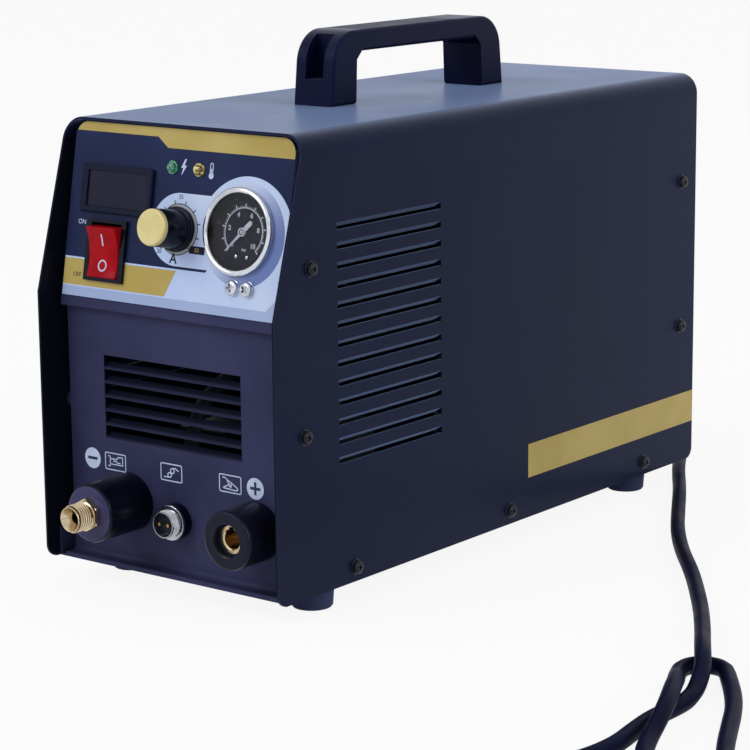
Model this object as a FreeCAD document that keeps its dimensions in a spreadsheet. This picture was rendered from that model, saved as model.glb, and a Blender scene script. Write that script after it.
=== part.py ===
import FreeCAD, Part
import math
import os
import re

import Sketcher

# The object is an inverter plasma cutter in a folded steel case, in millimetres.
# Pieces are placed in the case's own directions: X across the front, Y from front to back, and Z up.
# The case's zero is the foot of its open front edge, midway across.
# The last shift puts zero on the floor, under the middle of the whole object.

SIZES = {
    # Folded case and its sheet
    "case_width": 155,
    "case_depth": 379.4,
    "case_height": 225.3,
    "sheet": 1.2,
    "top_bend": 11,
    "knee_height": 139,
    "top_setback": 24.9,
    "front_corner": 7,
    "rear_corner": 6,
    "fit_gap": 0.2,
    "loose_gap": 0.3,
    "running_gap": 0.05,
    # Louvers in the side walls
    "louver_count": 13,
    "louver_front": 46.8,
    "louver_length": 86.4,
    "louver_pitch": 9.63,
    "louver_low": 62,
    "louver_window": 3.6,
    "louver_slit": 0.9,
    "louver_depth": 4,
    # Louvers in the front panel
    "grille_count": 6,
    "grille_middle": -2.5,
    "grille_width": 93,
    "grille_pitch": 7.25,
    "grille_low": 64.6,
    "grille_window": 6.5,
    "grille_slit": 3.7,
    "grille_depth": 3,
    # Base plate and the posts under the board
    "base_front": 8.5,
    "base_flange": 15,
    "post_height": 20,
    "post_radius": 3.5,
    "post_side_inset": 12,
    "post_inset": 14,
    # Front panel and the control label on its slope
    "panel_inset": 5.5,
    "lower_face": 15.5,
    "toe_height": 1.2,
    "toe_bend": 2.6,
    "shelf_height": 131,
    "shelf_bend": 1,
    "label_face": 11.2,
    "label_foot": 136.5,
    "tilt": 10.3,
    "label_margin": 0.4,
    "label_length": 88.2,
    "label_sheet": 0.4,
    "flange_depth": 17,
    "flange_foot_gap": 4,
    "boss_radius": 4.6,
    # Rear panel and its fan
    "rear_inset": 8,
    "rear_flange": 14,
    "rear_flange_foot": 18,
    "fan_size": 92,
    "fan_depth": 25,
    "fan_height": 160,
    "fan_hole_edge": 4.75,
    "fan_wall": 1.5,
    "fan_tip_gap": 3.5,
    "fan_hub": 18,
    "fan_blades": 7,
    "fan_shaft": 1.6,
    "guard_wire": 1,
    # Feet
    "foot_height": 12,
    "foot_inset": 17,
    "foot_front": 46,
    "foot_rear_inset": 45.4,
    "foot_radius": 11.3,
    "foot_step": 4,
    "foot_bore_gap": 1.1,
    "foot_taper": 1.6,
    "foot_screw_depth": 6,
    "foot_screw_head": 3,
    # Screws
    "screw_radius": 1.9,
    "screw_head": 3.3,
    "screw_head_height": 2.3,
    "washer_radius": 4.1,
    "washer_height": 0.6,
    "screw_length": 9,
    "screw_row_front": 60,
    "screw_row_pitch": 133,
    "low_screw_back": 21.9,
    "low_screw_height": 80.6,
    "high_screw_back": 27.5,
    "high_screw_height": 161.5,
    "rear_screw_low": 81,
    "rear_screw_high": 165,
    "cross_width": 0.9,
    "cross_length": 3.8,
    "cross_depth": 1.2,
    "chrome_head": 3.7,
    "chrome_height": 2.6,
    # Handle
    "handle_front": 126,
    "handle_rear": 278,
    "handle_width": 26,
    "handle_height": 38.2,
    "handle_lean": 4,
    "handle_leg": 20,
    "handle_grip": 11.2,
    "handle_corner": 18,
    "handle_slot": 12,
    "handle_slot_foot": 13.5,
    "handle_slot_depth": 24,
    "handle_rounding": 1.6,
    "handle_screw_inset": 2,
    "handle_screw_depth": 7,
    "rib_pitch": 2.6,
    "rib_groove": 1.1,
    "rib_depth": 0.6,
    "rib_count": 32,
    "rib_front": 152,
    # Pressure gauge
    "gauge_x": 41.7,
    "gauge_v": 41.4,
    "bezel_overhang": 1.7,
    "bezel_height": 3.4,
    "bezel_cover": 1.2,
    "gauge_case": 19.8,
    "gauge_wall": 0.8,
    "gauge_depth": 24,
    "dial_level": -3.2,
    "dial_sheet": 0.5,
    "lens_level": 0.9,
    "lens_sheet": 1.2,
    "needle_gap": 4.3,
    "needle_hub": 2,
    "needle_pivot": 0.7,
    # Current knob and its potentiometer
    "knob_x": 2.4,
    "knob_v": 39.2,
    "knob_radius": 9.5,
    "skirt_width": 1.7,
    "knob_skirt_height": 2.4,
    "knob_lift": 0.5,
    "knob_top": 17.6,
    "cap_inset": 0.4,
    "cap_top": 20.3,
    "shaft_radius": 3,
    "shaft_top": 14,
    "bushing_wall": 0.7,
    "pot_radius": 12,
    "pot_depth": 12,
    # Power rocker
    "rocker_x": -43.4,
    "rocker_v": 24.5,
    "switch_lip_side": 2,
    "switch_lip_end": 1.2,
    "bezel_thick": 1.8,
    "housing_wall": 0.8,
    "housing_end_wall": 0.55,
    "housing_depth": 24,
    "rocker_gap": 0.4,
    "rocker_end_gap": 1.15,
    "well_depth": 11,
    "rocker_wide": 19.6,
    "rocker_half": 12.6,
    "rocker_edge": 8.3,
    "rocker_dip": 5.6,
    "rocker_skirt": 3.5,
    "pivot_depth": 3,
    "pivot_radius": 1.5,
    "rocker_swing": 17,
    # Display and lamps
    "display_x": -38.7,
    "display_v": 55,
    "window_wide": 40,
    "window_tall": 18,
    "window_thick": 1.8,
    "frame_side": 3.75,
    "frame_end": 3,
    "frame_raise": 2.2,
    "lamp_v": 69,
    "lamp_green_x": -4.5,
    "lamp_yellow_x": 12.6,
    "lamp_radius": 2.5,
    "lamp_flange": 0.8,
    "lamp_top": 3.4,
    "frame_offset": 0.8,
    "window_low": -0.6,
    "digits_side_gap": 1.5,
    "digits_end_gap": 0.5,
    "board_level": -9,
    "board_sheet": 1.6,
    "control_left": -66,
    "control_low": 53,
    "control_wide": 84,
    "control_tall": 24,
    # Screws beside the gauge
    "label_screw_left": 41,
    "label_screw_right": 50.2,
    "label_screw_v": 14.4,
    # Torch connector
    "torch_x": -31.5,
    "torch_z": 33.7,
    "socket_radius": 14.75,
    "torch_reach": 30.9,
    "torch_neck_wall": 3,
    "torch_flat_rise": 0.5,
    "torch_hex": 3,
    "torch_thread": 7,
    "torch_thread_length": 10.6,
    "torch_bore": 2.95,
    "torch_lip": 0.6,
    "torch_seat_depth": 4.5,
    "torch_tail": 15,
    # Work clamp socket
    "earth_x": 52.1,
    "earth_z": 31.6,
    "earth_reach": 23.4,
    "recess_width": 1.5,
    "earth_recess_depth": 3.6,
    "earth_neck_wall": 5,
    "sleeve_radius": 7,
    "sleeve_wall": 2.15,
    "sleeve_bore_depth": 22,
    "sleeve_reach": 19.5,
    "sleeve_tail": 16,
    "key_width": 3,
    "key_depth": 1.4,
    "key_length": 10,
    # Trigger socket
    "trigger_z": 28.7,
    "ring_width": 1.85,
    "ring_reach": 5,
    "flange_thick": 1.4,
    "shell_radius": 7.15,
    "shell_wall": 1,
    "shell_reach": 11.5,
    "trigger_tail": 12,
    "trigger_face": 8.6,
    "trigger_pin": 0.8,
    "trigger_pin_reach": 11,
    "trigger_pin_side": 2.8,
    # Nuts behind the connectors, over their flats
    "torch_nut": 24,
    "earth_nut": 27,
    "trigger_nut": 19,
    "connector_nut_height": 6,
    "trigger_nut_height": 4,
    # Rear fittings
    "inlet_x": -45,
    "inlet_z": 80,
    "inlet_reach": 28,
    "inlet_root": 4,
    "inlet_bore": 2.5,
    "inlet_crest": 4.9,
    "inlet_thread": 6.3,
    "inlet_flats": 17,
    "stud_x": 45,
    "stud_z": 30,
    "stud_radius": 3,
    "stud_reach": 18,
    "gland_x": 5,
    "gland_z": 80,
    "gland_wall": 3.8,
    "gland_flats": 22,
    "gland_reach": 40,
    "gland_nut_height": 6,
    "gland_back_nut": 5,
    "stud_flats": 10,
    "stud_nut_height": 5,
    "inlet_nut_height": 5,
    # Mains cord and its plug
    "cord_radius": 4,
    "coil_radius": 52.5,
    "coil_pitch": 8.6,
    "coil_lead": 62,
    "plug_width": 36,
    "plug_thick": 25,
    "plug_length": 42,
    "plug_tail": 30,
    "plug_pin_radius": 2.4,
    "plug_pin_length": 19,
    "plug_pin_spacing": 19,
    # Main board and what stands on it
    "board_side_gap": 14.1,
    "board_front": 58,
    "board_rear_gap": 36.2,
    "sink_inner": 32,
    "sink_inset": 2,
    "sink_front": 186,
    "sink_length": 140,
    "sink_height": 44,
    "sink_web": 4,
    "fin_count": 6,
    "fin_thick": 2,
    "module_count": 4,
    "module_thick": 5,
    "module_long": 16,
    "module_tall": 21,
    "bridge_wide": 28,
    "bridge_deep": 22,
    "bridge_tall": 10,
    "capacitor_radius": 14,
    "capacitor_height": 48,
    "capacitor_front": 206,
    "capacitor_pitch": 33,
    "core_x": 26,
    "core_y": 96,
    "core_wide": 56,
    "core_tall": 50,
    "core_deep": 20,
    "core_limb": 8,
    "core_leg": 16,
    "winding_wall": 9,
    "choke_x": -34,
    "choke_y": 148,
    "choke_radius": 24,
    "choke_hole": 9,
    "choke_height": 18,
    "ignition_x": -40,
    "ignition_y": 96,
    "ignition_wide": 32,
    "ignition_deep": 34,
    "ignition_tall": 36,
    "valve_gap": 18.2,
    "valve_wide": 24,
    "valve_deep": 24,
    "valve_tall": 22,
    "valve_coil": 10.5,
    "valve_coil_height": 19,
    "plunger_radius": 4,
    "plunger_travel": 2,
    "hose_radius": 4,
    "gauge_hose_radius": 2.5,
}

# Places and sizes worked out from the ones above.
WORKED = {
    "case_half": "case_width / 2",
    "panel_width": "case_width - 2 * panel_inset",
    "label_width": "panel_width - 2 * label_margin",
    "inner_half": "case_width / 2 - sheet - fit_gap",
    "inner_top": "case_height - sheet",
    "rear_face": "case_depth - rear_inset",
    "rear_inside": "case_depth - rear_inset - sheet",
    "panel_half": "panel_width / 2",
    "sheet_top": "case_height - sheet - loose_gap",
    "board_top": "post_height + board_sheet",
    "front_reach": "torch_tip - lower_face",
    "rear_reach": "case_depth - rear_inset + gland_reach",
    "frame_shift": "(front_reach - rear_reach) / 2",
    "screw_hole": "screw_radius + loose_gap",
    "behind_label": "-(label_sheet + sheet)",
    "rear_screw_back": "rear_face - rear_flange / 2 - sheet / 2",
    "fan_hole_spacing": "fan_size - 2 * fan_hole_edge",
    "fan_bore": "fan_size / 2 - fan_wall",
    "fan_tip": "fan_bore - fan_tip_gap",
    "foot_side": "case_half - foot_inset",
    "foot_rear": "case_depth - foot_rear_inset",
    "board_half": "inner_half - board_side_gap",
    "board_rear": "rear_inside - board_rear_gap",
    "post_side": "board_half - post_side_inset",
    "post_front": "board_front + post_inset",
    "post_spacing": "(board_rear - board_front) / 2 - post_inset",
    "sink_outer": "board_half - sink_inset",
    "valve_y": "rear_inside - valve_gap",
    "bezel_radius": "gauge_case + bezel_overhang",
    "bezel_lip": "gauge_case - bezel_cover",
    "needle_length": "gauge_case - needle_gap",
    "cap_radius": "knob_radius - cap_inset",
    "knob_skirt": "knob_radius + skirt_width",
    "bushing_radius": "shaft_radius + bushing_wall",
    "well_wide": "rocker_wide + 2 * rocker_gap",
    "well_tall": "2 * (rocker_half + rocker_end_gap)",
    "housing_wide": "well_wide + 2 * housing_wall",
    "housing_tall": "well_tall + 2 * housing_end_wall",
    "switch_wide": "housing_wide + 2 * switch_lip_side",
    "switch_tall": "housing_tall + 2 * switch_lip_end",
    "frame_wide": "window_wide + 2 * frame_side",
    "frame_tall": "window_tall + 2 * frame_end",
    "digits_wide": "window_wide - 2 * digits_side_gap",
    "digits_tall": "window_tall - 2 * digits_end_gap",
    "lamp_collar": "lamp_radius + lamp_flange",
    "torch_neck": "torch_thread + torch_neck_wall",
    "torch_seat": "torch_thread - torch_lip",
    "torch_flats": "2 * (torch_thread + torch_flat_rise)",
    "torch_tip": "torch_reach + torch_hex + torch_thread_length",
    "earth_recess": "sleeve_radius + recess_width",
    "earth_neck": "sleeve_radius + earth_neck_wall",
    "sleeve_bore": "sleeve_radius - sleeve_wall",
    "ring_radius": "shell_radius + ring_width",
    "gland_thread": "cord_radius + gland_wall",
}

document = FreeCAD.newDocument("PlasmaCutter")
sizes = document.addObject("Spreadsheet::Sheet", "Sizes")
for line, (alias, size) in enumerate(SIZES.items(), start=1):
    sizes.set(f"A{line}", alias)
    sizes.set(f"B{line}", str(size))
    sizes.setAlias(f"B{line}", alias)
document.recompute()

X_AXIS = FreeCAD.Vector(1, 0, 0)
Y_AXIS = FreeCAD.Vector(0, 1, 0)
Z_AXIS = FreeCAD.Vector(0, 0, 1)
TURNS = {
    "up": (X_AXIS, "0"),
    "front": (X_AXIS, "90"),
    "rear": (X_AXIS, "-90"),
    "label": (X_AXIS, "90 - tilt"),
    "rocker": (X_AXIS, "90 - tilt + rocker_swing / 2"),
    "right": (Y_AXIS, "90"),
    "left": (Y_AXIS, "-90"),
    "down": (X_AXIS, "180"),
}
NODES = {}


def rule(text):
    """Turn words into an expression over the sheet: an alias, or a worked-out name's own words."""

    def swap(match):
        word = match.group()
        if word in SIZES:
            return "Sizes." + word
        if word in WORKED:
            return "(" + rule(WORKED[word]) + ")"
        return word

    return re.sub(r"[a-z][a-z_]*[a-z]", swap, str(text))


def number(text):
    """The value of an expression with the sheet as it is now."""
    return float(sizes.evalExpression(rule(text)))


def on_label(u, v, w="0"):
    """The case's X, Y and Z of a place on the slope: across, up the slope and out of the label's face."""
    y = f"label_face + ({v}) * sin(tilt) - ({w}) * cos(tilt)"
    z = f"label_foot + ({v}) * cos(tilt) + ({w}) * sin(tilt)"
    return u, y, z


def seat(thing, x="0", y="0", z="0", facing="up"):
    """Put a piece at a place in the case, its own Z axis turned the way it faces."""
    axis, angle = TURNS[facing]
    if facing != "up":
        thing.Placement.Rotation = FreeCAD.Rotation(axis, number(angle))
        thing.setExpression("Placement.Rotation.Angle", rule(angle))
    thing.setExpression("Placement.Base.x", rule(x))
    thing.setExpression("Placement.Base.y", rule(y))
    thing.setExpression("Placement.Base.z", rule(z))
    return thing


def node(label, thing, x="0", y="0", z="0", facing="up"):
    """Name a finished piece and put it in the part's frame, under the middle of the object."""
    thing.Label = label
    NODES[label] = thing
    return seat(thing, x, f"({y}) + frame_shift", f"({z}) + foot_height", facing)


# Sketches and the features made from them


def new_body():
    return document.addObject("PartDesign::Body", "Body")


def origin_plane(body, role):
    return next(plane for plane in body.Origin.OriginFeatures if plane.Role == role)


def sketch(body, role, offset="0"):
    """A sketch on one of the body's own planes, moved along that plane's normal."""
    drawing = body.newObject("Sketcher::SketchObject", "Sketch")
    drawing.AttachmentSupport = [(origin_plane(body, role), "")]
    drawing.MapMode = "FlatFace"
    drawing.setExpression("AttachmentOffset.Base.z", rule(offset))
    return drawing


def label_sketch(body):
    """A sketch in the plane of the label's face."""
    drawing = sketch(body, "XY_Plane")
    x, y, z = on_label("0", "0")
    lean = FreeCAD.Rotation(X_AXIS, number("90 - tilt"))
    drawing.AttachmentOffset = FreeCAD.Placement(FreeCAD.Vector(), lean)
    drawing.setExpression("AttachmentOffset.Rotation.Angle", rule("90 - tilt"))
    drawing.setExpression("AttachmentOffset.Base.y", rule(y))
    drawing.setExpression("AttachmentOffset.Base.z", rule(z))
    return drawing


def hold(drawing, kind, items, text):
    """Add one dimension to a sketch and bind it to its rule."""
    value = number(text)
    index = drawing.addConstraint(Sketcher.Constraint(kind, *items, value))
    drawing.setExpression(f"Constraints[{index}]", rule(text))


def outline(drawing, points):
    """A closed outline of straight sides, with each corner held by its own two rules."""
    corners = [FreeCAD.Vector(number(x), number(y), 0) for x, y in points]
    first = drawing.GeometryCount
    for index, corner in enumerate(corners):
        following = corners[(index + 1) % len(corners)]
        drawing.addGeometry(Part.LineSegment(corner, following), False)
    for index in range(len(corners)):
        after = first + (index + 1) % len(corners)
        drawing.addConstraint(Sketcher.Constraint("Coincident", first + index, 2, after, 1))
    for index, (x, y) in enumerate(points):
        hold(drawing, "DistanceX", (-1, 1, first + index, 1), x)
        hold(drawing, "DistanceY", (-1, 1, first + index, 1), y)
    return drawing


def rectangle(drawing, x, y, wide, tall):
    """A rectangle about its middle."""
    left, right = f"({x}) - ({wide}) / 2", f"({x}) + ({wide}) / 2"
    low, high = f"({y}) - ({tall}) / 2", f"({y}) + ({tall}) / 2"
    return outline(drawing, [(left, low), (right, low), (right, high), (left, high)])


def circle(drawing, x, y, radius):
    centre = FreeCAD.Vector(number(x), number(y), 0)
    index = drawing.addGeometry(Part.Circle(centre, Z_AXIS, number(radius)), False)
    hold(drawing, "DistanceX", (-1, 1, index, 3), x)
    hold(drawing, "DistanceY", (-1, 1, index, 3), y)
    hold(drawing, "Radius", (index,), radius)
    return drawing


def arch(drawing, half, top, bend):
    """An outline with two rounded top corners, open well below zero, about the middle line."""
    wide, high, radius = number(half), number(top), number(bend)
    deep = -high
    shoulder = high - radius
    flat = wide - radius
    corners = [(-flat, high), (flat, high), (wide, shoulder), (wide, deep), (-wide, deep), (-wide, shoulder)]
    points = [FreeCAD.Vector(x, y, 0) for x, y in corners]
    for start, end in ((0, 1), (2, 3), (3, 4), (4, 5)):
        drawing.addGeometry(Part.LineSegment(points[start], points[end]), False)
    right = Part.Circle(FreeCAD.Vector(flat, shoulder, 0), Z_AXIS, radius)
    left = Part.Circle(FreeCAD.Vector(-flat, shoulder, 0), Z_AXIS, radius)
    drawing.addGeometry(Part.ArcOfCircle(right, 0, math.pi / 2), False)
    drawing.addGeometry(Part.ArcOfCircle(left, math.pi / 2, math.pi), False)
    joints = ((0, 2, 4, 2), (4, 1, 1, 1), (1, 2, 2, 1), (2, 2, 3, 1), (3, 2, 5, 2), (5, 1, 0, 1))
    for joint in joints:
        drawing.addConstraint(Sketcher.Constraint("Coincident", *joint))
    across, up = f"({half}) - ({bend})", f"({top}) - ({bend})"
    for index, vertex, x, y in (
            (0, 1, f"-({across})", top), (0, 2, across, top), (1, 1, half, up), (1, 2, half, f"-({top})"),
            (2, 2, f"-({half})", f"-({top})"), (3, 2, f"-({half})", up)):
        hold(drawing, "DistanceX", (-1, 1, index, vertex), x)
        hold(drawing, "DistanceY", (-1, 1, index, vertex), y)
    for index in (4, 5):
        hold(drawing, "Radius", (index,), bend)
    return drawing


def feature(body, kind, drawing, length, centred=True):
    """A Pad or a Pocket of a sketch, to both sides of its plane or to one."""
    step = body.newObject("PartDesign::" + kind, kind)
    step.Profile = drawing
    step.setExpression("Length", rule(length))
    step.Midplane = centred
    return step


def turned(points):
    """A body turned about its own Z axis. The points are radius and height."""
    body = new_body()
    drawing = outline(sketch(body, "XZ_Plane"), points)
    step = body.newObject("PartDesign::Revolution", "Turning")
    step.Profile = drawing
    step.ReferenceAxis = (drawing, ["V_Axis"])
    step.Angle = 360
    return body


def row(body, steps, role, count, pitch):
    """Repeat features along one of the body's own axes."""
    pattern = body.newObject("PartDesign::LinearPattern", "Row")
    pattern.Originals = steps
    pattern.Direction = (origin_plane(body, role), [""])
    pattern.Mode = "Spacing"
    pattern.setExpression("Offset", rule(pitch))
    pattern.setExpression("Occurrences", rule(count))
    body.Tip = pattern
    return pattern


def around(body, steps, count):
    """Repeat features round the body's own Z axis."""
    pattern = body.newObject("PartDesign::PolarPattern", "Round")
    pattern.Originals = steps
    pattern.Axis = (origin_plane(body, "Z_Axis"), [""])
    pattern.Angle = 360
    pattern.setExpression("Occurrences", rule(count))
    body.Tip = pattern
    return pattern


def edges_of(shape, test):
    return [f"Edge{index}" for index, edge in enumerate(shape.Edges, start=1) if test(edge)]


def middle_at(edge, x=None, y=None, z=None):
    """Whether an edge's middle lies at the places that are given."""
    middle = edge.CenterOfMass
    asked = ((middle.x, x), (middle.y, y), (middle.z, z))
    return all(text is None or abs(place - number(text)) < 0.02 for place, text in asked)


def runs_along(edge, axis):
    start, end = edge.Vertexes[0].Point, edge.Vertexes[-1].Point
    way = end - start
    return way.Length > 0 and abs(abs(way.normalize().dot(axis)) - 1) < 1e-6


def dress(body, kind, size, test):
    """Round or bevel the chosen edges of the body's last feature."""
    document.recompute()
    base = body.Tip
    step = body.newObject("PartDesign::" + kind, kind)
    step.Base = (base, edges_of(base.Shape, test))
    step.setExpression("Radius" if kind == "Fillet" else "Size", rule(size))
    return step


# Primitives and what joins them


def block(x, y, z, wide, deep, tall):
    """A box from its lowest corner."""
    thing = document.addObject("Part::Box", "Block")
    for side, size in (("Length", wide), ("Width", deep), ("Height", tall)):
        thing.setExpression(side, rule(size))
    return seat(thing, x, y, z)


def rod(radius, length, x="0", y="0", z="0", facing="up"):
    thing = document.addObject("Part::Cylinder", "Rod")
    thing.setExpression("Radius", rule(radius))
    thing.setExpression("Height", rule(length))
    return seat(thing, x, y, z, facing)


def hexagon(flats, length, z="0"):
    """A six-sided bar on its own Z axis, from the distance over its flats."""
    thing = document.addObject("Part::Prism", "Hexagon")
    thing.Polygon = 6
    thing.setExpression("Circumradius", rule(f"({flats}) / sqrt(3)"))
    thing.setExpression("Height", rule(length))
    return seat(thing, "0", "0", z)


def joined(things):
    fuse = document.addObject("Part::MultiFuse", "Joined")
    fuse.Shapes = things
    return fuse


def cut(base, tools):
    piece = document.addObject("Part::Cut", "Cut")
    piece.Base = base
    piece.Tool = tools[0] if len(tools) == 1 else joined(tools)
    return piece


def group(things):
    """Separate solids that share a node."""
    together = document.addObject("Part::Compound", "Group")
    together.Links = things
    return together


def copies(master, places):
    """Copies of one piece, each at its own place and facing its own way."""
    made = []
    for place in places:
        link = document.addObject("App::Link", "Copy")
        link.LinkedObject = master
        seat(link, *place)
        made.append(link)
    return made


# Tubes and cords


def rounded_path(points, printed=""):
    """Straight runs joined by tangent arcs, each arc as large as its two runs allow."""
    share = 0.45
    edges = []
    radii = []
    start = points[0]
    for before, corner, after in zip(points, points[1:], points[2:]):
        back = before - corner
        ahead = after - corner
        reach = share * min(back.Length, ahead.Length)
        back.normalize()
        ahead.normalize()
        half_turn = (math.pi - back.getAngle(ahead)) / 2
        radius = reach / math.tan(half_turn)
        inward = (back + ahead).normalize()
        apex = corner + inward * (radius / math.cos(half_turn) - radius)
        first, last = corner + back * reach, corner + ahead * reach
        edges.append(Part.LineSegment(start, first).toShape())
        edges.append(Part.Arc(first, apex, last).toShape())
        radii.append(radius)
        start = last
    edges.append(Part.LineSegment(start, points[-1]).toShape())
    if printed:
        print(printed, "bend radii", " ".join(f"{radius:.0f}" for radius in radii))
    return Part.Wire(edges)


def swept(path, radius):
    """A round solid along a path."""
    start = path.Edges[0]
    way = start.tangentAt(start.FirstParameter)
    ring = Part.Wire([Part.Circle(start.valueAt(start.FirstParameter), way, radius).toShape()])
    return path.makePipeShell([ring], True, False)


def solid_of(shape):
    thing = document.addObject("Part::Feature", "Shape")
    thing.Shape = shape
    return thing


def tube(points, radius, printed=""):
    """A tube along a route in the case, its volume compared with its section times its length."""
    path = rounded_path(points, printed)
    shape = swept(path, radius)
    expected = math.pi * radius ** 2 * path.Length
    if abs(shape.Volume / expected - 1) > 0.002:
        raise RuntimeError(f"{printed or 'tube'} volume {shape.Volume:.0f} should be {expected:.0f}")
    if printed:
        share = shape.Volume / expected
        print(printed, f"length {path.Length:.0f} mm, volume over section times length {share:.5f}")
    return solid_of(shape)


def point(x, y, z):
    return FreeCAD.Vector(number(x), number(y), number(z))


# The cover: a U of sheet, open at the front, the back and below, with louvers in both walls


def louver(face, inward, low, window, slit, depth, hinge="top"):
    """The sections of one louver in a wall: the solid behind the wall, and the air cut through both.

    The blade starts in the wall at its hinge, the top or the foot of the window, and leans inward to a free
    edge that leaves the slit open. Each section's points are inward of the wall's outer face and up.
    """
    slope = f"(({window}) - ({slit}))"
    length = f"sqrt({slope}^2 + ({depth})^2)"
    across = f"sheet * {slope} / {length}"
    rise = f"sheet * ({depth}) / {length}"
    top = f"({low}) + ({slit}) + {rise} + (({depth}) + {across} - sheet) * {slope} / ({depth})"
    free_edge = f"({low}) + ({slit})"
    edge_top = (f"({depth}) + {across}", f"{free_edge} + {rise}")
    dome = [
        ("sheet / 2", f"{top} + sheet / 4"), ("sheet", top), edge_top, (depth, free_edge),
        ("sheet", low), ("sheet / 2", low)]
    window_top = f"({low}) + ({window})"
    air = [("-sheet", low), ("-sheet", window_top), ("0", window_top), (depth, free_edge), (depth, low)]

    def placed(points):
        if hinge == "foot":
            points = [(across_wall, f"2 * ({low}) + ({window}) - ({up})") for across_wall, up in points]
        return [(f"({face}) {inward} ({across_wall})", up) for across_wall, up in points]

    return placed(dome), placed(air)


def side_screw_places():
    """Where the case screws go in a side wall: how far back, how far up, and what they hold."""
    low_row = [(f"screw_row_front + {index} * screw_row_pitch", "base_flange / 2") for index in range(3)]
    front = [("low_screw_back", "low_screw_height"), ("high_screw_back", "high_screw_height")]
    rear = [("rear_screw_back", "rear_screw_high"), ("rear_screw_back", "rear_screw_low")]
    return low_row + front + rear


def make_cover():
    body = new_body()
    side = outline(sketch(body, "YZ_Plane"), [
        ("0", "0"), ("0", "knee_height"), ("top_setback", "case_height"),
        ("case_depth", "case_height"), ("case_depth", "0")])
    feature(body, "Pad", side, "case_width")
    dress(body, "Fillet", "top_bend",
          lambda edge: runs_along(edge, Y_AXIS) and middle_at(edge, z="case_height"))
    dress(body, "Fillet", "front_corner",
          lambda edge: runs_along(edge, X_AXIS) and middle_at(edge, y="0", z="0"))
    dress(body, "Fillet", "rear_corner",
          lambda edge: runs_along(edge, X_AXIS) and middle_at(edge, y="case_depth", z="0"))
    inside = sketch(body, "XZ_Plane", "-case_depth / 2")
    arch(inside, "case_half - sheet", "inner_top", "top_bend - sheet")
    feature(body, "Pocket", inside, "case_depth * 2")
    domes = sketch(body, "XZ_Plane", "-(louver_front + louver_length / 2)")
    slits = sketch(body, "XZ_Plane", "-(louver_front + louver_length / 2)")
    for face, inward in (("case_half", "-"), ("-case_half", "+")):
        dome, air = louver(face, inward, "louver_low", "louver_window", "louver_slit", "louver_depth")
        outline(domes, dome)
        outline(slits, air)
    dome_pad = feature(body, "Pad", domes, "louver_length")
    row(body, [dome_pad], "Z_Axis", "louver_count", "louver_pitch")
    slit_pocket = feature(body, "Pocket", slits, "louver_length - 2 * sheet")
    row(body, [slit_pocket], "Z_Axis", "louver_count", "louver_pitch")
    holes = sketch(body, "YZ_Plane")
    for back, up in side_screw_places():
        circle(holes, back, up, "screw_hole")
    feature(body, "Pocket", holes, "case_width * 2")
    handle_holes = sketch(body, "XY_Plane", "case_height")
    for back in handle_screw_places():
        circle(handle_holes, "0", back, "screw_hole")
    feature(body, "Pocket", handle_holes, "sheet * 4")
    node("cover", body)


def handle_screw_places():
    inset = "handle_leg / 2 + handle_screw_inset"
    return f"handle_front + {inset}", f"handle_rear - ({inset})"


# The base plate, with upturned sides and the posts that carry the main board


def make_base():
    body = new_body()
    middle = "(base_front + rear_inside) / 2"
    section = sketch(body, "XZ_Plane", f"-{middle}")
    inner = "inner_half - sheet"
    top = "base_flange"
    outline(section, [
        ("-inner_half", top), ("-inner_half", "0"), ("inner_half", "0"), ("inner_half", top),
        (inner, top), (inner, "sheet"), (f"-({inner})", "sheet"), (f"-({inner})", top)])
    feature(body, "Pad", section, "rear_inside - base_front")
    posts = sketch(body, "XY_Plane")
    for side in ("-post_side", "post_side"):
        circle(posts, side, "post_front", "post_radius")
    post_pad = feature(body, "Pad", posts, "post_height", centred=False)
    row(body, [post_pad], "Y_Axis", "3", "post_spacing")
    foot_holes = sketch(body, "XY_Plane")
    for x, y in foot_places().values():
        circle(foot_holes, x, y, "screw_hole")
    feature(body, "Pocket", foot_holes, "sheet * 4")
    side_holes = sketch(body, "YZ_Plane")
    for back, up in side_screw_places()[:3]:
        circle(side_holes, back, up, "screw_hole")
    feature(body, "Pocket", side_holes, "case_width * 2")
    node("base_pan", body)


def foot_places():
    return {
        "front_left": ("-foot_side", "foot_front"),
        "front_right": ("foot_side", "foot_front"),
        "rear_left": ("-foot_side", "foot_rear"),
        "rear_right": ("foot_side", "foot_rear"),
    }


def make_feet():
    bore = "screw_head + foot_bore_gap"
    for where, (x, y) in foot_places().items():
        foot = turned([
            ("screw_hole", "foot_height"), ("foot_radius", "foot_height"),
            ("foot_radius - foot_taper / 2", "1"), ("foot_radius - foot_taper", "0"), (bore, "0"),
            (bore, "foot_height - foot_step"), ("screw_hole", "foot_height - foot_step")])
        node("foot_" + where, foot, x, y, "-foot_height")
    seat_level = "foot_height - foot_step"
    screw = turned([
        ("0", f"{seat_level} - foot_screw_head"), ("screw_head", f"{seat_level} - foot_screw_head"),
        ("screw_head", seat_level), ("screw_radius", seat_level),
        ("screw_radius", "foot_height + foot_screw_depth"), ("0", "foot_height + foot_screw_depth")])
    places = [(x, y, "-foot_height") for x, y in foot_places().values()]
    head_foot = "-sheet - screw_head_height"
    handle_screw = turned([
        ("0", head_foot), ("screw_head", head_foot), ("screw_head", "-sheet"), ("screw_radius", "-sheet"),
        ("screw_radius", "handle_screw_depth"), ("0", "handle_screw_depth")])
    handle_places = [("0", back, "case_height") for back in handle_screw_places()]
    node("mounting_screws", group(copies(screw, places) + copies(handle_screw, handle_places)))


# The front panel: a straight lower part, a shelf, and a slope behind the control label


def slope_at(height, behind="0"):
    """How far back the slope is at a height, with a distance behind the label's face."""
    return f"label_face + (({height}) - label_foot) * tan(tilt) + ({behind}) / cos(tilt)"


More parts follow.
